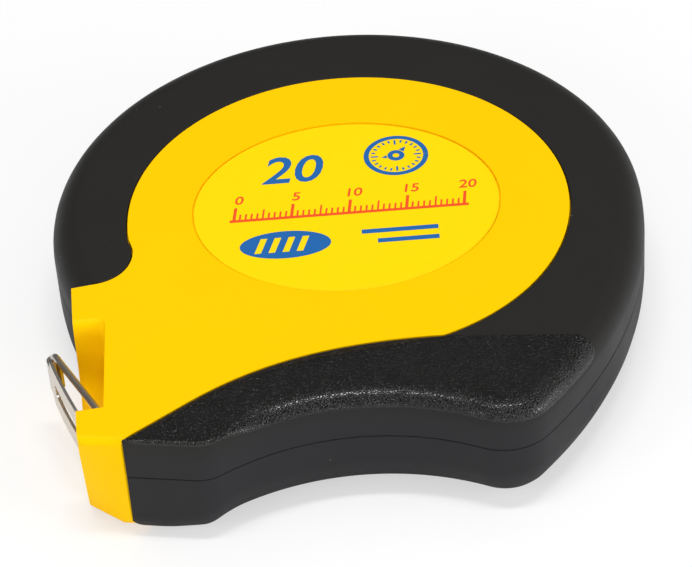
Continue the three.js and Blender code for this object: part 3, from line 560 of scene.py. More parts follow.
def coverStations(ahead=0.0):
    found = []
    for track, count in enumerate(case["steps"]):
        first = 1 if track else 0
        for i in range(first, count + 1):
            found.append(station(track, max(i / count, 0.004 if track == 0 else 0), ahead))
    # the last section stays a seam above the nose
    for key in ("in", "out"):
        found[-1][key] = found[-1][key] + Vector((0, case["seam"]))
    return found


def sweep(stations, section):
    # A grid laid along the stations; each section is a closed loop, and the two ends are filled
    loops = [section(s) for s in stations]
    across = len(loops[0])
    bm = bmesh.new()
    bmesh.ops.create_grid(bm, x_segments=across, y_segments=len(loops) - 1, size=1)
    bm.verts.ensure_lookup_table()
    for j, loop in enumerate(loops):
        for i in range(across + 1):
            bm.verts[j * (across + 1) + i].co = loop[i % across]
    bmesh.ops.remove_doubles(bm, verts=bm.verts, dist=0.0005)
    bmesh.ops.holes_fill(bm, edges=[e for e in bm.edges if e.is_boundary], sides=0)
    bmesh.ops.recalc_face_normals(bm, faces=bm.faces)
    return bm


def toWall(s, start):
    return max((start - s["out"]).dot(s["inward"]), 1e-4)


def overEdge(s, start, radius):
    # From the seam over the flat and round the edge to the wall: place, depth and how far it has turned
    out, inward = s["out"], s["inward"]
    far = toWall(s, start)
    aside = (start - out) - inward * far
    wide = far > radius
    lean = 1 - (1 - s["straight"]) * smooth((far / radius - 1) * 2)
    first = 0 if wide else math.asin(1 - far / radius)

    def rounded(a):
        back = radius * (1 - math.sin(a))
        return out + inward * back + aside * min(back / far, 1) * lean

    flats = [(start.lerp(rounded(first), k / 8), radius * (1 - math.cos(first)), first) for k in range(9)]
    turns = [first + (math.pi / 2 - first) * k / 10 for k in range(1, 11)]
    return flats + [(rounded(a), radius * (1 - math.cos(a)), a) for a in turns]


def coverSection(key, depth, level):
    # Depth runs from the outer face towards the parting line; level turns it into a height
    def section(s):
        # every allowance shrinks with the width where the cover narrows to a point
        width = (s["out"] - s["in"]).length
        seam = min(case["seam"], 0.15 * width)
        edge = min(0.3, 0.12 * width)
        skin = min(case["skin"], 0.3 * width)
        groove = min(0.28, 0.4 * width)
        start = s["in"] + s["into"] * seam
        top = overEdge(s, start + s["into"] * edge, s[key])
        lift = top[0][1]
        points = [(start, lift + skin + edge), (start, lift + edge),
                  (start.lerp(top[0][0], 0.3), lift + edge * 0.3)]
        points += [(p, h) for p, h, _ in top]
        # a small groove where the two covers meet
        points += [(s["out"], depth - groove),
                   (s["out"] + s["inward"] * groove * 0.3, depth - groove * 0.3),
                   (s["out"] + s["inward"] * groove, depth),
                   (s["out"] + s["inward"] * max(skin, groove + 0.01), depth)]
        # back along the inside of the skin
        inside = max(s[key] - skin, 0.1)
        far = toWall(s, start)
        for _, _, a in top[:8:-2]:
            back = skin + inside * (1 - math.sin(a))
            if back < far:
                points.append((s["out"] + s["inward"] * back, skin + inside * (1 - math.cos(a))))
            else:
                points.append((start, lift + skin + edge))
        return [(p.x, p.y, level(h)) for p, h in points]
    return section


# Black covers

pad = {
    "proud": 0.22,        # the grained area stands this much above the smooth cover
    "sunk": 0.35,         # and reaches this far into it
    "border": 0.45,       # width of its rolled border
    "gap": 0.5,           # from the seam of the yellow face
    "gripShare": 0.74,    # share of the rounded edge that it takes over the grip
    "flankShare": 0.85,   # share of the rounded edge that it takes beside the flank
    "corner": 4.0,        # radius of its corner there
    "turn": 88,           # degrees of the rounded edge that a full share covers
    "swell": 6,           # it swells to its full height over this length of the chin
}


def padSection(s):
    width = (s["out"] - s["in"]).length
    radius = min(s["front"], 0.35 * width)
    flat = s["in"] + s["into"] * min(pad["gap"], 0.2 * width)
    shoulder = s["out"] + s["inward"] * radius
    # along the cover's own surface: place, depth and normal
    top = [(flat.lerp(shoulder, k / 14), 0, Vector((0, 0, 1))) for k in range(15)]
    last = math.radians(pad["turn"]) * s["take"]
    for k in range(1, 13):
        a = last * k / 12
        normal = Vector((-s["inward"].x * math.sin(a), -s["inward"].y * math.sin(a), math.cos(a)))
        top.append((s["out"] + s["inward"] * radius * (1 - math.sin(a)), radius * (1 - math.cos(a)), normal))
    spots = [Vector((p.x, p.y, caseTop - h)) for p, h, _ in top]
    run = lengths(spots)
    # cut back for the round corner at its end
    near = max(pad["corner"] - s["fromEnd"], 0)
    cut = 1 - (pad["corner"] - math.sqrt(max(pad["corner"] ** 2 - near ** 2, 0))) / run[-1]
    kept = []
    for goal in [g * cut for g in run]:
        i, part = locate(run, goal)
        kept.append((spots[i - 1].lerp(spots[i], part), top[i - 1][2].lerp(top[i][2], part)))
    run = [g * cut for g in run]
    # raised by the rolled border, and sunk a little into the cover
    upper, lower = [], []
    for (spot, normal), gone in zip(kept, run):
        rim = min(gone, run[-1] - gone, s["left"])
        t = min(rim / pad["border"], 1)
        lift = pad["proud"] * (math.sqrt(max(1 - (1 - t) ** 2, 0)) * 1.25 - 0.25)
        upper.append(spot + normal * lift * s["swell"])
        lower.append(spot - normal * pad["sunk"] * min(1, 0.12 * width))
    return [tuple(p) for p in upper + lower[::-1]]


def padStations():
    outerTotal = measured[0][3][-1]
    hornAt = (gripFrom + gripLength) / outerTotal
    shares = [0.006 + 0.974 * i / 200 for i in range(201)]
    shares += [1 - d / outerTotal for d in (1.6, 1.2, 0.8, 0.55, 0.4, 0.28, 0.18, 0.1, 0.04, 0)]
    found = []
    for share in sorted(shares):
        s = station(0, share)
        start = blend(1, pad["gripShare"], (share * outerTotal - gripFrom) / case["frontRunIn"])
        s["take"] = blend(start, pad["flankShare"], (share - hornAt) / (1 - hornAt) * 2.2)
        s["fromEnd"] = (1 - share) * outerTotal
        s["left"] = min(s["fromEnd"], share * outerTotal)
        s["swell"] = smooth(share * outerTotal / pad["swell"])
        found.append(s)
    return found


screwWell = {
    "circle": 60.6,
    "angles": (0, 60, 120, 180),
    "horn": (30, -66),
    "cover": 3.5,        # radius of the hole in the black cover, and how far up it is cut
    "coverTop": 4.5,
    "bore": 3.0,         # well in the shell behind it, with a collar standing in that hole
    "wallTop": 9,        # the well is cut through the shell's wall up to here
    "collar": 3.4,
    "low": 2.2,
    "collarTop": 3.8,
    "flareTop": 4.6,     # the collar widens to its base up to here
    "base": 3.7,
    "shank": 1.5,
    "headTop": 4.6,
    "baseTop": 6.4,
}


def screwPlaces():
    return [unit(angle) * screwWell["circle"] for angle in screwWell["angles"]] + [Vector(screwWell["horn"])]


def cutWells(radius, top):
    return cuts(*[disc(spot, radius, -1, top, 48) for spot in screwPlaces()])


def fromTop(depth):
    return caseTop - depth


def fromRear(depth):
    return depth


frontStations = coverStations()
rearStations = coverStations(case["rearAhead"])
parting = case["parting"]
frontDepth = caseTop - parting
frontCover = sweep(frontStations, coverSection("front", frontDepth - case["partGap"], fromTop))
padSkin = sweep(padStations(), padSection)
for face in padSkin.faces:
    face.material_index = 1
merge(frontCover, padSkin)
newPiece("front_cover_grip", frontCover, "case", ["black", "leather"], ["front_cover"], 50)
rearCover = carve(sweep(rearStations, coverSection("rear", parting - case["partGap"], fromRear)),
                  cutWells(screwWell["cover"], screwWell["coverTop"]))
newPiece("rear_cover_rubber", rearCover, "case", ["black"], ["rear_cover"], 50)
print("black covers made")


# Yellow shells

shell = {
    "panelInside": 25.0,
    "noseLeft": -46.0,       # the solid nose lies left of this
    "noseTop": -24.5,        # and below this
    "bayRadius": 57.5,
    "lipRound": 1.4,
    "edge": 0.2,
    "noseTopRound": 1.8,     # the face rolls over into the nose
    "coveWall": -55.2,
    "coveFlat": -53.0,       # its floor is level from here to the lip
    "coveRise": ((-45.5, 9.4), (-41.4, 14.3), (-40.2, 24.5)),
    "coveBrow": ((-39.8, 26.4), (-39.2, 27.6)),
    "coveEnd": -37.8,        # the brow meets the front face here
    "coveFront": -67.6,
    "coveCorner": 1.5,
    "coveFloor": 9.3,
    "labelCentre": (0, -3.85),
    "labelHalf": (35.6, 31.2),
    "labelRecess": 0.6,
    "recessRadius": 45.0,
    "recessDepth": 6.6,
    "recessTop": 8.2,
    "dishRadius": 47.0,
    "dishRear": 1.9,         # the dish round the recess begins at this height
    "floorTop": 3.5,
    "shaftHole": 5.3,
    "wallFrom": 6,           # the side wall leaves out the first sections, at the chin's point
    "slotTop": 23.9,
    "clipBay": (-6, 8, 4.4),         # from, to and width of the hollow for the end clip, along the tape
    "tapeSlot": (6, 40, 2.6, -0.275),    # the same for the tape's slot, and how far it is set aside
}
tapePivot = Vector((-56.4, -63.5))
tapeRun = Vector((-0.95821, -0.28607))


def roundedCorner(before, corner, after, radius, steps=5):
    a, b = (Vector(before) - Vector(corner)).normalized(), (Vector(after) - Vector(corner)).normalized()
    half = a.angle(b) / 2
    reach = radius / math.tan(half)
    centre = Vector(corner) + (a + b).normalized() * radius / math.sin(half)
    start, end = Vector(corner) + a * reach, Vector(corner) + b * reach
    first, last = bearing(centre, start), bearing(centre, end)
    turn = (last - first + 180) % 360 - 180
    return arcPoints(centre, radius, first, first + turn, steps)


def yellowOutline():
    face = arcPoints(panel["centre"], panel["radius"], roundStart, roundEnd, 150)
    lipCorner = roundedCorner(tip, case["lip"], case["chin"], shell["lipRound"])
    return face[:-1] + lobe + [tip] + lipCorner + edgeUnder[:-1]


def alongTape(start, end, width, shift=0.0):
    low, high = shell["coveFloor"] + 0.02, shell["slotTop"]
    side = leftOf(tapeRun)
    a = tapePivot - tapeRun * start + side * (shift - width / 2)
    b = tapePivot - tapeRun * end + side * (shift - width / 2)
    return prism([a, b, b + side * width, a + side * width], low, high)


def coveTool():
    # Side view of the cove: level floor behind the lip, then a curve up to the neck and a soft brow
    front, floor, end, over = shell["coveFront"], shell["coveFloor"], shell["coveEnd"], caseTop + 4
    rise = bezier((shell["coveFlat"], floor), *shell["coveRise"], 20)
    brow = bezier(shell["coveRise"][-1], *shell["coveBrow"], (end, caseTop + 0.02), 8)
    bm = prism([(front, floor)] + rise + brow[1:] + [(end, over), (front, over)], 0, 40)
    # the end wall runs into the side wall with a hollow corner
    hollow = [e for e in bm.edges if all(v.co.z < 0.01 and v.co.x > shell["coveFlat"] + 0.1 for v in e.verts)
              and abs(e.verts[0].co.y - e.verts[1].co.y) < 3]
    bmesh.ops.bevel(bm, geom=hollow, offset=shell["coveCorner"], affect="EDGES", segments=6, profile=0.5,
                    material=-1)
    # the drawing plane stands upright, across the nose
    move(bm, Matrix(((0, 0, -1, shell["coveWall"]), (1, 0, 0, 0), (0, 1, 0, 0), (0, 0, 0, 1))))
    bmesh.ops.recalc_face_normals(bm, faces=bm.faces)
    return bm


def ellipsePrism(half, low, high, steps=144):
    cx, cy = shell["labelCentre"]
    turns = [math.tau * i / steps for i in range(steps)]
    return prism([(cx + half[0] * math.cos(a), cy + half[1] * math.sin(a)) for a in turns], low, high)


def innerWall(key, depth, level):
    # The shell's own side wall lies behind the black cover and follows its rounding
    def section(s):
        width = (s["out"] - s["in"]).length
        root = s["in"] - s["into"] * 0.6
        faces = []
        for gap, rise in ((min(1.9, 0.4 * width), 1.9), (min(3.9, 0.6 * width), 3.0)):
            near = dict(s, out=s["out"] + s["inward"] * gap)
            turn = overEdge(near, root, max(s[key] - rise, 0.1))
            faces.append([(p, h + rise) for p, h, _ in turn[:1] + turn[8::2]] + [(near["out"], depth)])
        return [(p.x, p.y, level(h)) for p, h in faces[0] + faces[1][::-1]]
    return section


def edgeTool(start, end, inward, radii, level=fromRear, count=24):
    # Takes off the corner along a wall, leaving it round; the radius may change on the way
    first, last = radii
    stops = [(start.lerp(end, i / count), first + (last - first) * i / count) for i in range(count + 1)]
    turns = [math.radians(7.5 * k) for k in range(13)]

    def section(stop):
        at, r = stop
        rounded = [(r * (1 - math.sin(a)), r * (1 - math.cos(a)) - 0.001) for a in turns]
        loop = [(-2, -2), (r, -2)] + rounded + [(-2, r)]
        return [(at.x + inward.x * d, at.y + inward.y * d, level(h)) for d, h in loop]

    return sweep(stops, section)


def noseEdges():
    lip, low, chin = (Vector(case[k]) for k in ("lip", "lipLow", "chin"))
    above, below, left = (lip - chin).normalized(), (low - chin).normalized(), (lip - tip).normalized()
    side = unit(case["noseAngle"])
    under, over = case["noseRound"], shell["noseTopRound"]
    # the rear edges of the nose's face, its underside and its left side, then the front edge of its face
    edges = [
        edgeTool(chin - below * 4, low + below * 2, -leftOf(below), (under - 0.6, 0.3)),
        edgeTool(chin - side * 8, chin + side * 14, leftOf(side), (under + 0.9, under + 0.9)),
        edgeTool(tip - left * 2, lip + left * 2, leftOf(left), (under, 0.5)),
        edgeTool(chin - above * 3, lip + above * 3, -leftOf(above), (over, over), fromTop),
    ]
    return cuts(leaningFace(), *edges)


def leaningFace():
    # The nose's face stands upright at the chin and leans further in towards the lip's end
    lip, low, chin = (Vector(case[k]) for k in ("lip", "lipLow", "chin"))
    rise = caseTop - shell["noseTopRound"]

    def section(share):
        top, foot = chin.lerp(lip, share), chin.lerp(low, share)
        loop = [(top + Vector((0, -20)), rise)]
        loop += [(top.lerp(foot, k / 12), rise * (1 - k / 12)) for k in range(13)]
        loop += [(foot, -2), (foot + Vector((0, -30)), -2)]
        return [(spot.x, spot.y, h) for spot, h in loop]

    # on past the lip's end, so that the cut is clear of it
    return sweep([k / 12 for k in range(19)], section)


def lipEdge():
    # The lip's inner edge is soft at its free end and crisp where it meets the cove's wall
    start, end = Vector((-63, shell["coveFront"])), Vector((shell["coveWall"], shell["coveFront"]))
    return edgeTool(start, end, Vector((0, -1)), (1.3, 0.05), fromTop)


def frontShell():
    inside = shell["panelInside"]
    steps = cuts(
        block(shell["noseLeft"], 90, -90, 90, -1, inside),
        block(-90, 90, shell["noseTop"], 90, -1, inside),
        disc((0, 0), shell["bayRadius"], -1, inside),
        ellipsePrism(shell["labelHalf"], caseTop - shell["labelRecess"], caseTop + 1),
        coveTool(),
        lipEdge(),
        alongTape(*shell["clipBay"]),
        alongTape(*shell["tapeSlot"]),
    )
    bm = carve(prism(yellowOutline(), 0, caseTop), noseEdges() + steps, shell["edge"])
    merge(bm, sweep(frontStations[shell["wallFrom"]:], innerWall("front", frontDepth, fromTop)))
    newPiece("front_shell_face", bm, "case", ["yellow"], ["front_shell"], 40)


def rearShell():
    seam = case["seam"]
    bay = shell["bayRadius"] - seam
    left, top = shell["noseLeft"] + seam, shell["noseTop"] + seam
    first = bearing((0, 0), (-math.sqrt(bay ** 2 - top ** 2), top)) % 360
    last = bearing((0, 0), (left, -math.sqrt(bay ** 2 - left ** 2))) % 360
    nose = prism([Vector((-90, top))] + arcPoints((0, 0), bay, first, last, 16)
                 + [Vector((left, -90)), Vector((-90, -90))], -1, caseTop)
    dish = disc((0, 0), shell["dishRadius"], shell["dishRear"], shell["recessTop"])
    recess = disc((0, 0), shell["recessRadius"], -1, shell["recessDepth"])
    steps = cuts(nose) + [("UNION", dish)] + cuts(recess, disc((0, 0), shell["shaftHole"], 5, 9, 64))
    bm = carve(prism(yellowOutline(), 0, shell["floorTop"]), noseEdges() + steps, shell["edge"])
    paintedWallSheen = sweep(rearStations[shell["wallFrom"]:], innerWall("rear", parting, fromRear))
    merge(bm, carve(paintedWallSheen, cutWells(screwWell["bore"], screwWell["wallTop"])))
    bore, collar, base, shank = (screwWell[k] for k in ("bore", "collar", "base", "shank"))
    low, head, top = (screwWell[k] for k in ("low", "headTop", "baseTop"))
    tube = [(bore, low), (collar, low), (collar, screwWell["collarTop"]), (base, screwWell["flareTop"]),
            (base, top), (shank, top), (shank, head), (bore, head), (bore, low)]
    for spot in screwPlaces():
        merge(bm, turned(tube, 48, (spot.x, spot.y, 0)))
    newPiece("rear_shell_back", bm, "case", ["yellow"], ["rear_shell"], 40)


frontShell()
rearShell()
print("yellow shells made")


# Label

label = {
    "bottom": 27.4,
    "top": 27.8,
    "half": (35.3, 30.9),
    "rim": 0.12,
    "print": 0.03,
    "dial": (12.5, 17.2),             # places are in millimetres from the middle of the label
    "dialRings": ((7.6, 6.4, 359.5), (2.0, 0.8, 359)),      # outer and inner radius, and how far round
    "dialTicks": (24, 5.9, 0.45, 1.7, 0.9),                 # number, reach, width, long and short
    "dialHands": ((1.5, 4.0, -37), (1.2, 3.4, 98)),         # width, reach and turn
    "handStart": 2.2,
    "badge": (-14.5, -13.0),
    "badgeHalf": (10.4, 4.9),
    "badgeStripes": (-6.4, -3.2, 0, 3.2),
    "lines": (17.5, 14.0),            # two plain lines that end together
    "lineEnd": 20.5,
    "lineTop": -11.2,
    "lineStep": 3.6,
    "stroke": 1.5,                    # thickness of the lines and stripes
    "rule": (0.5, -3.6, 55, 0.9),
    "ruleTicks": 40,
    "ruleFrom": -26,
    "ruleLength": 53,
    "ruleFoot": -2.68,
    "length": ("20", -12.5, 14.2, 14.0),
    "figureSize": 4.2,
}


def labelPlate():
    bm = ellipsePrism(label["half"], label["bottom"], label["top"], 180)
    rim = [e for e in bm.edges if all(v.co.z > label["top"] - 0.01 for v in e.verts)]
    bmesh.ops.bevel(bm, geom=rim, offset=label["rim"], affect="EDGES", segments=2, profile=0.5, material=-1)
    newPiece("label_plate_vinyl", bm, "case", ["vinyl"], ["label_plate"], 30)


def labelSpot(x, y):
    return Vector((shell["labelCentre"][0] + x, shell["labelCentre"][1] + y))


def printed(name, shapes, ink, lift=0.0):
    # Thin closed patches of ink: outlines in millimetres from the middle of the label
    bm = bmesh.new()
    low = label["top"] + lift
    for outline in shapes:
        merge(bm, prism([labelSpot(*p) for p in outline], low, low + label["print"]))
    newPiece(name, bm, "case", [ink])


def bar(x, y, width, height, slant=0.0):
    return [(x - width / 2, y), (x + width / 2, y), (x + width / 2 + slant, y + height),
            (x - width / 2 + slant, y + height)]


def ring(centre, outer, inner, end, steps=48):
    return arcPoints(centre, outer, 0, end, steps) + arcPoints(centre, inner, end, 0, steps)


def tilted(shape, x, y, angle):
    turn = Matrix.Rotation(math.radians(angle), 2)
    return [tuple(Vector((x, y)) + turn @ (Vector(p) - Vector((x, y)))) for p in shape]


def numerals(name, marks, ink, body, place, depth, shear=0.0):
    # Plain figures; each is made a mesh before it is set in place
    bm = bmesh.new()
    for text, x, y, size in marks:
        curve = bpy.data.curves.new("figure", "FONT")
        curve.body = text
        curve.size = size
        curve.shear = shear
        curve.extrude = depth / 2
        curve.offset = size * 0.012
        curve.align_x = "CENTER"
        curve.align_y = "CENTER"
        curve.resolution_u = 4
        figure = bpy.data.objects.new("figure", curve)
        mesh = bpy.data.meshes.new_from_object(figure)
        mesh.transform(place @ Matrix.Translation((x, y, 0)))
        bm.from_mesh(mesh)
        bpy.data.objects.remove(figure)
        bpy.data.curves.remove(curve)
        bpy.data.meshes.remove(mesh)
    bmesh.ops.remove_doubles(bm, verts=bm.verts, dist=0.0005)
    newPiece(name, bm, body, [ink], sharp=20)


def labelPrint():
    # A dial, a graduated rule with figures and an oval badge
    x, y = label["dial"]
    shapes = [ring(label["dial"], outer, inner, end) for outer, inner, end in label["dialRings"]]
    count, reach, width, long, short = label["dialTicks"]
    for i in range(count):
        size = long if i % 6 == 0 else short
        shapes.append(tilted(bar(x, y + reach - size, width, size), x, y, 360 / count * i))
    for width, reach, angle in label["dialHands"]:
        foot = y + label["handStart"]
        shapes.append(tilted([(x - width / 2, foot), (x + width / 2, foot), (x, y + reach)], x, y, angle))
    left, low = label["badge"]
    wide, tall = label["badgeHalf"]
    turns = [math.tau * i / 72 for i in range(72)]
    shapes.append([(left + wide * math.cos(a), low + tall * math.sin(a)) for a in turns])
    for i, width in enumerate(label["lines"]):
        top = label["lineTop"] - label["lineStep"] * i
        shapes.append(bar(label["lineEnd"] - width / 2, top, width, label["stroke"]))
    printed("label_print_blue", shapes, "blueInk")

    start, length, count = label["ruleFrom"], label["ruleLength"], label["ruleTicks"]
    shapes = [bar(*label["rule"])]
    for i in range(count + 1):
        high = 4.4 if i % 10 == 0 else 3.2 if i % 5 == 0 else 1.9
        width = 0.42 if i % 10 else 0.7
        shapes.append(bar(start + length * i / count, label["ruleFoot"], width, high, high * 0.12))
    printed("label_print_red", shapes, "redInk")
    stripes = [bar(left + shift, low - 2.6, label["stroke"], 5.2, 1.6) for shift in label["badgeStripes"]]
    printed("label_print_stripes", stripes, "yellowInk", label["print"] - 0.01)
    flat = Matrix.Translation((*shell["labelCentre"], label["top"] + label["print"] / 2))
    numerals("label_print_length", [label["length"]], "blueInk", "case", flat,
             label["print"], 0.2)
    figures = [(str(5 * i), start + 1.2 + length * i / 4, 4.3, label["figureSize"]) for i in range(5)]
    numerals("label_print_figures", figures, "redInk", "case", flat, label["print"], 0.15)


labelPlate()
labelPrint()
print("label made")


# Pull ring, claw, end clip and the first centimetres of the tape

hook = {
    "clawPivot": (-67.41, -42.17),
    "middle": 16.6,
    "ringAngle": 117.3,
    "ringLength": 24.0,
    "clawAngle": -70.3,
    "wire": 0.8,
    "wireHalf": 5.7,
    "corner": 2.0,
    "endGap": 0.4,
    "plateHalf": 6.2,
    "knuckleHalf": 3.9,
    "clawLength": 23.5,
    "clawSheet": 0.7,
    "clawBow": 0.35,
    "clawShoulder": (2.2, 2.9),    # the knuckle ends and the full width begins
    "clawCorner": 3,
    "clawSlot": (6.7, 18.3, 1.7),  # where its round ends stand, and its half width
    "curl": 1.65,
    "clipLength": 6.0,
    "clipSheet": 0.5,
    "clipShoulder": (2.15, 2.15),
    "clipCorner": 1,
    "clipLeaf": 0.425,             # height of each leaf from the middle of the tape
    "clipBore": 1.1,
    "clipCurlEnd": 1.9,
    "rivetAlong": 3.83,
    "rivetUp": 3.25,
    "rivetSeat": 0.925,
    "rivetHead": 1.5,
    "rivetCrown": 0.42,
}


def onPivot(spot, angle):
    turn = Matrix.Rotation(math.radians(angle), 4, "Z")
    return Matrix.Translation((spot[0], spot[1], hook["middle"])) @ turn


# a shape drawn flat then stands on edge
upright = Matrix.Rotation(math.radians(90), 4, "X")
alongBlade = onPivot(tapePivot, bearing((0, 0), -tapeRun))


def standing(points, thickness):
    bm = prism(points, -thickness / 2, thickness / 2)
    move(bm, upright)
    return bm


def pullRing():
    # One bent wire: straights are drawn out and the corners are spun
    reach, corner, length = hook["wireHalf"], hook["corner"], hook["ringLength"]
    bm = bmesh.new()
    bmesh.ops.create_circle(bm, segments=20, radius=hook["wire"])
    bmesh.ops.translate(bm, vec=(0, 0, hook["endGap"] / 2), verts=bm.verts)
    loop = list(bm.edges)

    def straight(loop, move):
        drawn = bmesh.ops.extrude_edge_only(bm, edges=loop)["geom"]
        ends = onlyVerts(drawn)
        bmesh.ops.translate(bm, vec=move, verts=ends)
        return [e for e in drawn if isinstance(e, bmesh.types.BMEdge) and all(v in ends for v in e.verts)]

    def bend(loop, centre):
        around = loop + list({v for e in loop for v in e.verts})
        last = bmesh.ops.spin(bm, geom=around, cent=centre, axis=(0, 1, 0), angle=math.radians(90), steps=8,
                              use_duplicate=False)["geom_last"]
        return [e for e in last if isinstance(e, bmesh.types.BMEdge)]

    short = reach - corner - hook["endGap"] / 2
    loop = straight(loop, (0, 0, short))
    loop = bend(loop, (corner, 0, reach - corner))
    loop = straight(loop, (length - 2 * corner, 0, 0))
    loop = bend(loop, (length - corner, 0, reach - corner))
    loop = straight(loop, (0, 0, -2 * (reach - corner)))
    loop = bend(loop, (length - corner, 0, corner - reach))
    loop = straight(loop, (2 * corner - length, 0, 0))
    loop = bend(loop, (corner, 0, corner - reach))
    straight(loop, (0, 0, short))
    bmesh.ops.holes_fill(bm, edges=[e for e in bm.edges if e.is_boundary], sides=0)
    bmesh.ops.recalc_face_normals(bm, faces=bm.faces)
    move(bm, onPivot(tapePivot, hook["ringAngle"]))
    newPiece("pull_ring_wire", bm, "ring", ["nickel"], ["pull_ring"], 50)


def sheetAlong(points, half, thickness):
    # A bent strip of sheet: the line of its edge is drawn up to its width and then given thickness
    bm = bmesh.new()
    corners = [bm.verts.new((p[0], p[1], -half)) for p in points]
    line = [bm.edges.new(pair) for pair in zip(corners, corners[1:])]
    drawn = bmesh.ops.extrude_edge_only(bm, edges=line)["geom"]
    bmesh.ops.translate(bm, vec=(0, 0, 2 * half), verts=onlyVerts(drawn))
    bmesh.ops.solidify(bm, geom=bm.faces, thickness=thickness)
    bmesh.ops.recalc_face_normals(bm, faces=bm.faces)
    return bm


def tabOutline(length, corner, shoulder, steps):
    # The sheet seen flat: a narrow knuckle at the pivot, then full width, with two round corners at its end
    half, knuckle = hook["plateHalf"], hook["knuckleHalf"]
    side = [Vector((-4, -knuckle)), Vector((shoulder[0], -knuckle)), Vector((shoulder[1], -half))]
    end = (arcPoints((length - corner, corner - half), corner, -90, 0, steps)
           + arcPoints((length - corner, half - corner), corner, 0, 90, steps))
    return side + end + [Vector((p.x, -p.y)) for p in side[::-1]]


def clawPlate():
    length, outside = hook["clawLength"], hook["curl"]
    shares = [1 - i / 24 for i in range(24)]
    flat = [(length * share, -outside - hook["clawBow"] * math.sin(math.pi * share)) for share in shares]
    curl = arcPoints((0, 0), outside, -90, -90 - 245, 24)
    plate = sheetAlong(flat + curl, hook["plateHalf"], hook["clawSheet"])
    outline = tabOutline(length, hook["clawCorner"], hook["clawShoulder"], 8)
    near, far, half = hook["clawSlot"]
    slot = arcPoints((far, 0), half, -90, 90, 12) + arcPoints((near, 0), half, 90, 270, 12)
    bm = carve(plate, [("INTERSECT", standing(outline, 12))] + cuts(standing(slot, 12)), 0.14, 45, 2)
    move(bm, onPivot(hook["clawPivot"], hook["clawAngle"]))
    newPiece("claw_plate_sheet", bm, "claw", ["nickel"], ["claw_plate"], 40)


def endClip():
    length, leaf, bore, curlEnd = (hook[k] for k in ("clipLength", "clipLeaf", "clipBore", "clipCurlEnd"))
    start = math.degrees(math.asin(leaf / bore))
    line = ([(length, leaf), (curlEnd, leaf)] + arcPoints((0, 0), bore, start, 360 - start, 22)
            + [(curlEnd, -leaf), (length, -leaf)])
    strip = sheetAlong(line, hook["plateHalf"], hook["clipSheet"])
    outline = tabOutline(length, hook["clipCorner"], hook["clipShoulder"], 4)
    bm = carve(strip, [("INTERSECT", standing(outline, 12))], 0.1, 45, 2)
    move(bm, alongBlade)
    newPiece("end_clip_sheet", bm, "blade", ["nickel"], ["end_clip"], 40)


def clipRivets():
    # Domed on both sides of the clip
    seat, head, crown = hook["rivetSeat"], hook["rivetHead"], hook["rivetCrown"]
    side = [(0, seat + crown), (0.5, seat + 0.93 * crown), (0.95, seat + 0.72 * crown),
            (1.3, seat + 0.38 * crown), (head, seat), (0.85, seat)]
    profile = [(r, -z) for r, z in side] + side[::-1]
    for number, up in ((1, -hook["rivetUp"]), (2, hook["rivetUp"])):
        bm = turned(profile, 24, (hook["rivetAlong"], 0, up), (0, 1, 0))
        move(bm, alongBlade)
        newPiece(f"clip_rivet_dome_{number}", bm, "blade", ["nickel"],
                 [f"clip_rivet_{number}"], 60)


tapeEnd = {
    "start": 1.95,
    "end": 62.0,
    "half": 6.5,
    "thickness": 0.25,
    "rivetHole": 1.05,
    "print": 0.02,
    "firstTick": 8,
    "tickWidth": 0.2,
    "tickInset": 0.15,
    "figureSize": 4.4,
}


def tapeBlade():
    # A thin enamelled strip with ticks at every millimetre of both edges
    a, b, half, thin = tapeEnd["start"], tapeEnd["end"], tapeEnd["half"], tapeEnd["thickness"]
    holes = [arcPoints((hook["rivetAlong"], up), tapeEnd["rivetHole"], 0, 345, 23)
             for up in (-hook["rivetUp"], hook["rivetUp"])]
    strip = standing([(a, -half), (b, -half), (b, half), (a, half)], thin)
    bm = carve(strip, cuts(*[standing(hole, 2) for hole in holes]), 0.05, 45, 2)
    move(bm, alongBlade)
    newPiece("tape_end_strip", bm, "blade", ["enamel"], ["tape_end"], 40)

    face = thin / 2 + tapeEnd["print"] / 2
    inset = tapeEnd["tickInset"]
    ticks = bmesh.new()
    for i in range(tapeEnd["firstTick"], int(b)):
        high = 4.2 if i % 10 == 0 else 3.0 if i % 5 == 0 else 1.9
        for low in (-half + inset, half - inset - high):
            tick = standing(bar(i, low, tapeEnd["tickWidth"], high), tapeEnd["print"])
            bmesh.ops.translate(tick, vec=(0, face, 0), verts=tick.verts)
            merge(ticks, tick)
    move(ticks, alongBlade)
    newPiece("tape_end_ticks", ticks, "blade", ["blackInk"])

    # figures face outwards, so they are turned about, and stand just before their tick
    turn = alongBlade @ Matrix.Translation((0, face, 0)) @ Matrix.Rotation(math.pi, 4, "Z") @ upright
    size = tapeEnd["figureSize"]
    figures = [(str(n), -10 * n - (1.7 if n < 10 else 2.6), 0, size) for n in range(1, 7)]
    numerals("tape_end_figures", figures, "redInk", "blade", turn, tapeEnd["print"])


pullRing()
clawPlate()
endClip()
clipRivets()
tapeBlade()
print("pull ring and tape end made")


# Crank side

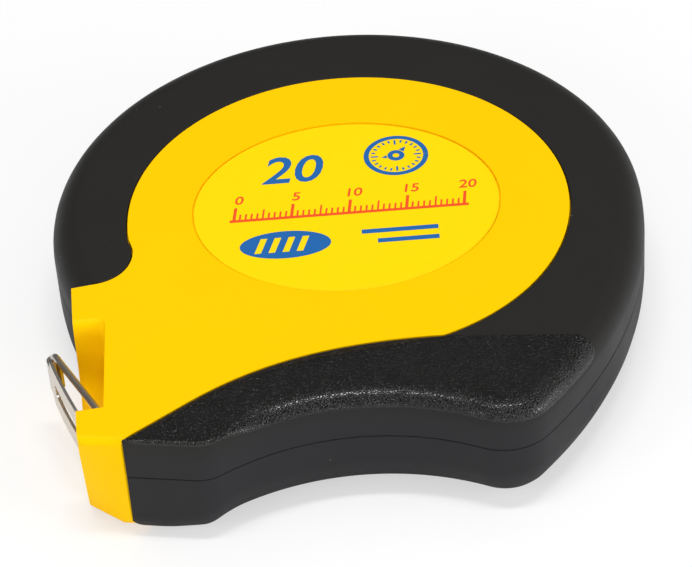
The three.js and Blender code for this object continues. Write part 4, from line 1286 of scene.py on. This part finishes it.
crank = {
    "rear": 2.8,
    "top": 6.0,
    "reach": 42.0,
    "width": 16.0,
    "hub": 9.0,
    "edge": 0.7,
    "window": (12.2, 37.9),
    "windowHalf": 4.6,
    "square": 3.6,
    "hinge": 35.5,
    "hingeHeight": 4.2,
    "pinHole": 1.05,
    "relief": (6.6, 10.2, 4.6),    # from, to and half width of the hollow between hub and window
    "reliefDepth": 0.5,
    "screwHead": 4.6,
    "screwRear": 1.6,
}
handle = {
    "freeEnd": 14.6,
    "thickness": 4.2,
    "half": 4.3,
    "edge": 0.7,
    "grooves": (18.5, 21.5, 24.5, 27.5),
    "grooveRadius": 0.9,
    "grooveOut": 0.35,             # the grooves' centres stand this far outside the handle
}
caseScrew = {
    # radius and height, from the middle of the head to the point
    "profile": [(0, 2.6), (1.9, 2.68), (2.4, 2.95), (2.7, 3.5), (2.7, 4.6), (1.2, 4.6), (1.2, 22), (0, 23)],
    "cross": (1.7, 0.35, 0, 3.7),
    "turn": 0.4,                   # each is left a little further round than the one before
}


def crankArm():
    half = crank["width"] / 2
    reach = crank["reach"]
    angle = math.degrees(math.asin(half / crank["hub"]))
    outline = (arcPoints((0, 0), crank["hub"], angle, 360 - angle, 60)
               + arcPoints((reach - half, 0), half, -90, 90, 32))
    pinHole = disc((0, 0), crank["pinHole"], -10, 10, 32)
    move(pinHole, Matrix.Translation((crank["hinge"], 0, crank["hingeHeight"])) @ upright)
    w, q = crank["windowHalf"], crank["square"]
    steps = cuts(
        block(*crank["window"], -w, w, 0, 9),
        block(-q, q, -q, q, 0, 9),
        pinHole,
        # the arm is relieved between hub and window, on the side away from the recess
        prism(roundedSlot(*crank["relief"]), 0, crank["rear"] + crank["reliefDepth"]),
    )
    bm = carve(prism(outline, crank["rear"], crank["top"]), steps, crank["edge"], 50, 3)
    newPiece("crank_arm_moulded", bm, "crank", ["crank"], ["crank_arm"], 40)


def roundedSlot(x0, x1, half):
    r = (x1 - x0) / 2
    return arcPoints((x0 + r, half - r), r, 0, 180, 12) + arcPoints((x0 + r, r - half), r, 180, 360, 12)


def foldHandle():
    r = handle["thickness"] / 2
    side = (arcPoints((handle["freeEnd"], 0), r, 90, 270, 16)
            + arcPoints((crank["hinge"], 0), r, -90, 90, 16))
    stock = prism(side, -handle["half"], handle["half"])
    eye = disc((crank["hinge"], 0), crank["pinHole"], -9, 9, 32)
    low = -r - handle["grooveOut"]
    grooves = [disc((x, low), handle["grooveRadius"], -9, 9, 24) for x in handle["grooves"]]
    bm = carve(stock, cuts(eye, *grooves), handle["edge"], 50, 3)
    move(bm, Matrix.Translation((0, 0, crank["hingeHeight"])) @ upright)
    newPiece("fold_handle_moulded", bm, "handle", ["grey"], ["fold_handle"], 40)


def crossRecess(reach, half, low, high):
    return cuts(block(-reach, reach, -half, half, low, high), block(-half, half, -reach, reach, low, high))


def screws():
    rear, head = crank["screwRear"], crank["screwHead"]
    dome = [(0, rear), (head - 2.2, rear + 0.05), (head - 1.0, rear + 0.22), (head - 0.35, rear + 0.55),
            (head, rear + 0.95), (head, crank["rear"]), (1.2, crank["rear"]), (1.2, 6.3), (0, 6.3)]
    bm = carve(turned(dome, 64), crossRecess(2.6, 0.5, 0, rear + 0.9), 0.08, 50, 2)
    newPiece("crank_screw_head", bm, "crank", ["zinc"], ["crank_screw"], 35)
    for i, spot in enumerate(screwPlaces()):
        bm = carve(turned(caseScrew["profile"], 40), crossRecess(*caseScrew["cross"]), 0.06, 50, 2)
        turn = Matrix.Rotation(caseScrew["turn"] * i, 4, "Z")
        move(bm, Matrix.Translation((spot.x, spot.y, 0)) @ turn)
        newPiece(f"case_screw_head_{i + 1}", bm, "case", ["zinc"], [f"case_screw_{i + 1}"], 35)


crankArm()
foldHandle()
screws()
print("crank side made")


# Inner pieces keep their own shape and only take a finish

innerFinish = {
    "axle_pin": "zinc",
    "drum": "grey",
    "drum_front_flange": "grey",
    "tape_coil": "enamel",
    "tape_run": "enamel",
    "sun_gear": "acetal",
    "ring_gear": "acetal",
    "carrier": "acetal",
    "handle_pin": "zinc",
}
for i in (1, 2, 3):
    innerFinish[f"planet_gear_{i}"] = "acetal"
    innerFinish[f"planet_pin_{i}"] = "zinc"
for node, finish in innerFinish.items():
    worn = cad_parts[node].data.materials
    worn.clear()
    worn.append(finishes[finish])
print("inner pieces finished:", len(innerFinish))


# Floor, light and camera

studio = {
    "aim": (-1.47, -32.51, 28),    # millimetres round the drum axis
    "distance": 668.3,
    "elevation": 39.6,
    "roll": -4.38,
    "lens": 156.07,
    "room": 0.4,                   # grey of the room as lit surfaces see it, and as glossy ones do
    "gloss": 0.11,
    "white": 0.55,                 # share of plain white in the paper as seen; the rest keeps the shadow
}


def studioFloor():
    bm = bmesh.new()
    bmesh.ops.create_grid(bm, x_segments=1, y_segments=1, size=6)
    mesh = bpy.data.meshes.new("studio_floor")
    bm.to_mesh(mesh)
    bm.free()
    floor = inScene("studio_floor", mesh)
    floor.location.z = -0.0002
    material, tree, shader, place = newMaterial("whiteStudioPaper", "#FAFAFA", 0.9)
    paper = addNode(tree, "ShaderNodeTexNoise", inputs={"Vector": place, "Scale": 900})
    bump = addNode(tree, "ShaderNodeBump", inputs={
        "Strength": 0.05, "Distance": 0.00005, "Height": paper.outputs["Fac"]})
    plug(tree, bump.outputs[0], shader, "Normal")
    path = addNode(tree, "ShaderNodeLightPath")
    share = addNode(tree, "ShaderNodeMath", {"operation": "MULTIPLY"}, {
        0: path.outputs["Is Camera Ray"], 1: studio["white"]})
    glow = addNode(tree, "ShaderNodeEmission", inputs={"Color": (1, 1, 1, 1), "Strength": 1.0})
    mix = addNode(tree, "ShaderNodeMixShader", inputs={
        0: share.outputs[0], 1: shader.outputs[0], 2: glow.outputs[0]})
    tree.links.new(mix.outputs[0], tree.nodes["Material Output"].inputs["Surface"])
    mesh.materials.append(material)


def studioLight():
    world = bpy.data.worlds.new("studio")
    bpy.context.scene.world = world
    world.use_nodes = True
    tree = world.node_tree
    tree.nodes.clear()
    # plain white to the camera; a grey room to everything else, so that the lamps shape the highlights
    path = addNode(tree, "ShaderNodeLightPath")
    seen = addNode(tree, "ShaderNodeMath", {"operation": "MAXIMUM"}, {
        0: path.outputs["Is Camera Ray"], 1: path.outputs["Is Transmission Ray"]})
    room = addNode(tree, "ShaderNodeMapRange", inputs={
        "Value": path.outputs["Is Diffuse Ray"], "To Min": studio["gloss"], "To Max": studio["room"]})
    level = addNode(tree, "ShaderNodeMath", {"operation": "MAXIMUM"}, {
        0: seen.outputs[0], 1: room.outputs[0]})
    sky = addNode(tree, "ShaderNodeBackground", inputs={"Color": (1, 1, 1, 1), "Strength": level.outputs[0]})
    addNode(tree, "ShaderNodeOutputWorld", inputs={"Surface": sky.outputs[0]})
    lamps = [
        # name, place, width, height, watts
        ("overhead", (0.15, 0.25, 1.3), 1.4, 1.4, 1.6),
        ("strip", (0, -0.12, 1.35), 0.7, 0.14, 8.0),
        ("left", (-1.0, -0.75, 0.6), 0.7, 0.7, 4.2),
        ("right", (1.1, -0.4, 0.3), 0.7, 0.5, 7.0),
        ("front", (0, -1.3, 0.25), 0.9, 0.3, 2.0),
    ]
    for name, spot, width, height, power in lamps:
        data = bpy.data.lights.new(name, "AREA")
        data.shape = "RECTANGLE"
        data.size = width
        data.size_y = height
        data.energy = power
        lamp = inScene(name, data)
        lamp.location = spot
        lamp.rotation_euler = (-lamp.location).to_track_quat("-Z", "Y").to_euler()


def studioCamera():
    data = bpy.data.cameras.new("camera")
    data.lens = studio["lens"]
    data.sensor_width = 36
    camera = inScene("camera", data)
    turn = Matrix.Rotation(math.radians(90 - studio["elevation"]), 4, "X")
    roll = Matrix.Rotation(math.radians(studio["roll"]), 4, "Z")
    back = (turn @ Vector((0, 0, 1))) * studio["distance"]
    spot = toFrame @ (Vector(studio["aim"]) + back)
    camera.matrix_world = Matrix.Translation(spot) @ turn @ roll
    bpy.context.scene.camera = camera


studioFloor()
studioLight()
studioCamera()
bpy.context.scene.view_settings.view_transform = "Standard"
print("studio made")
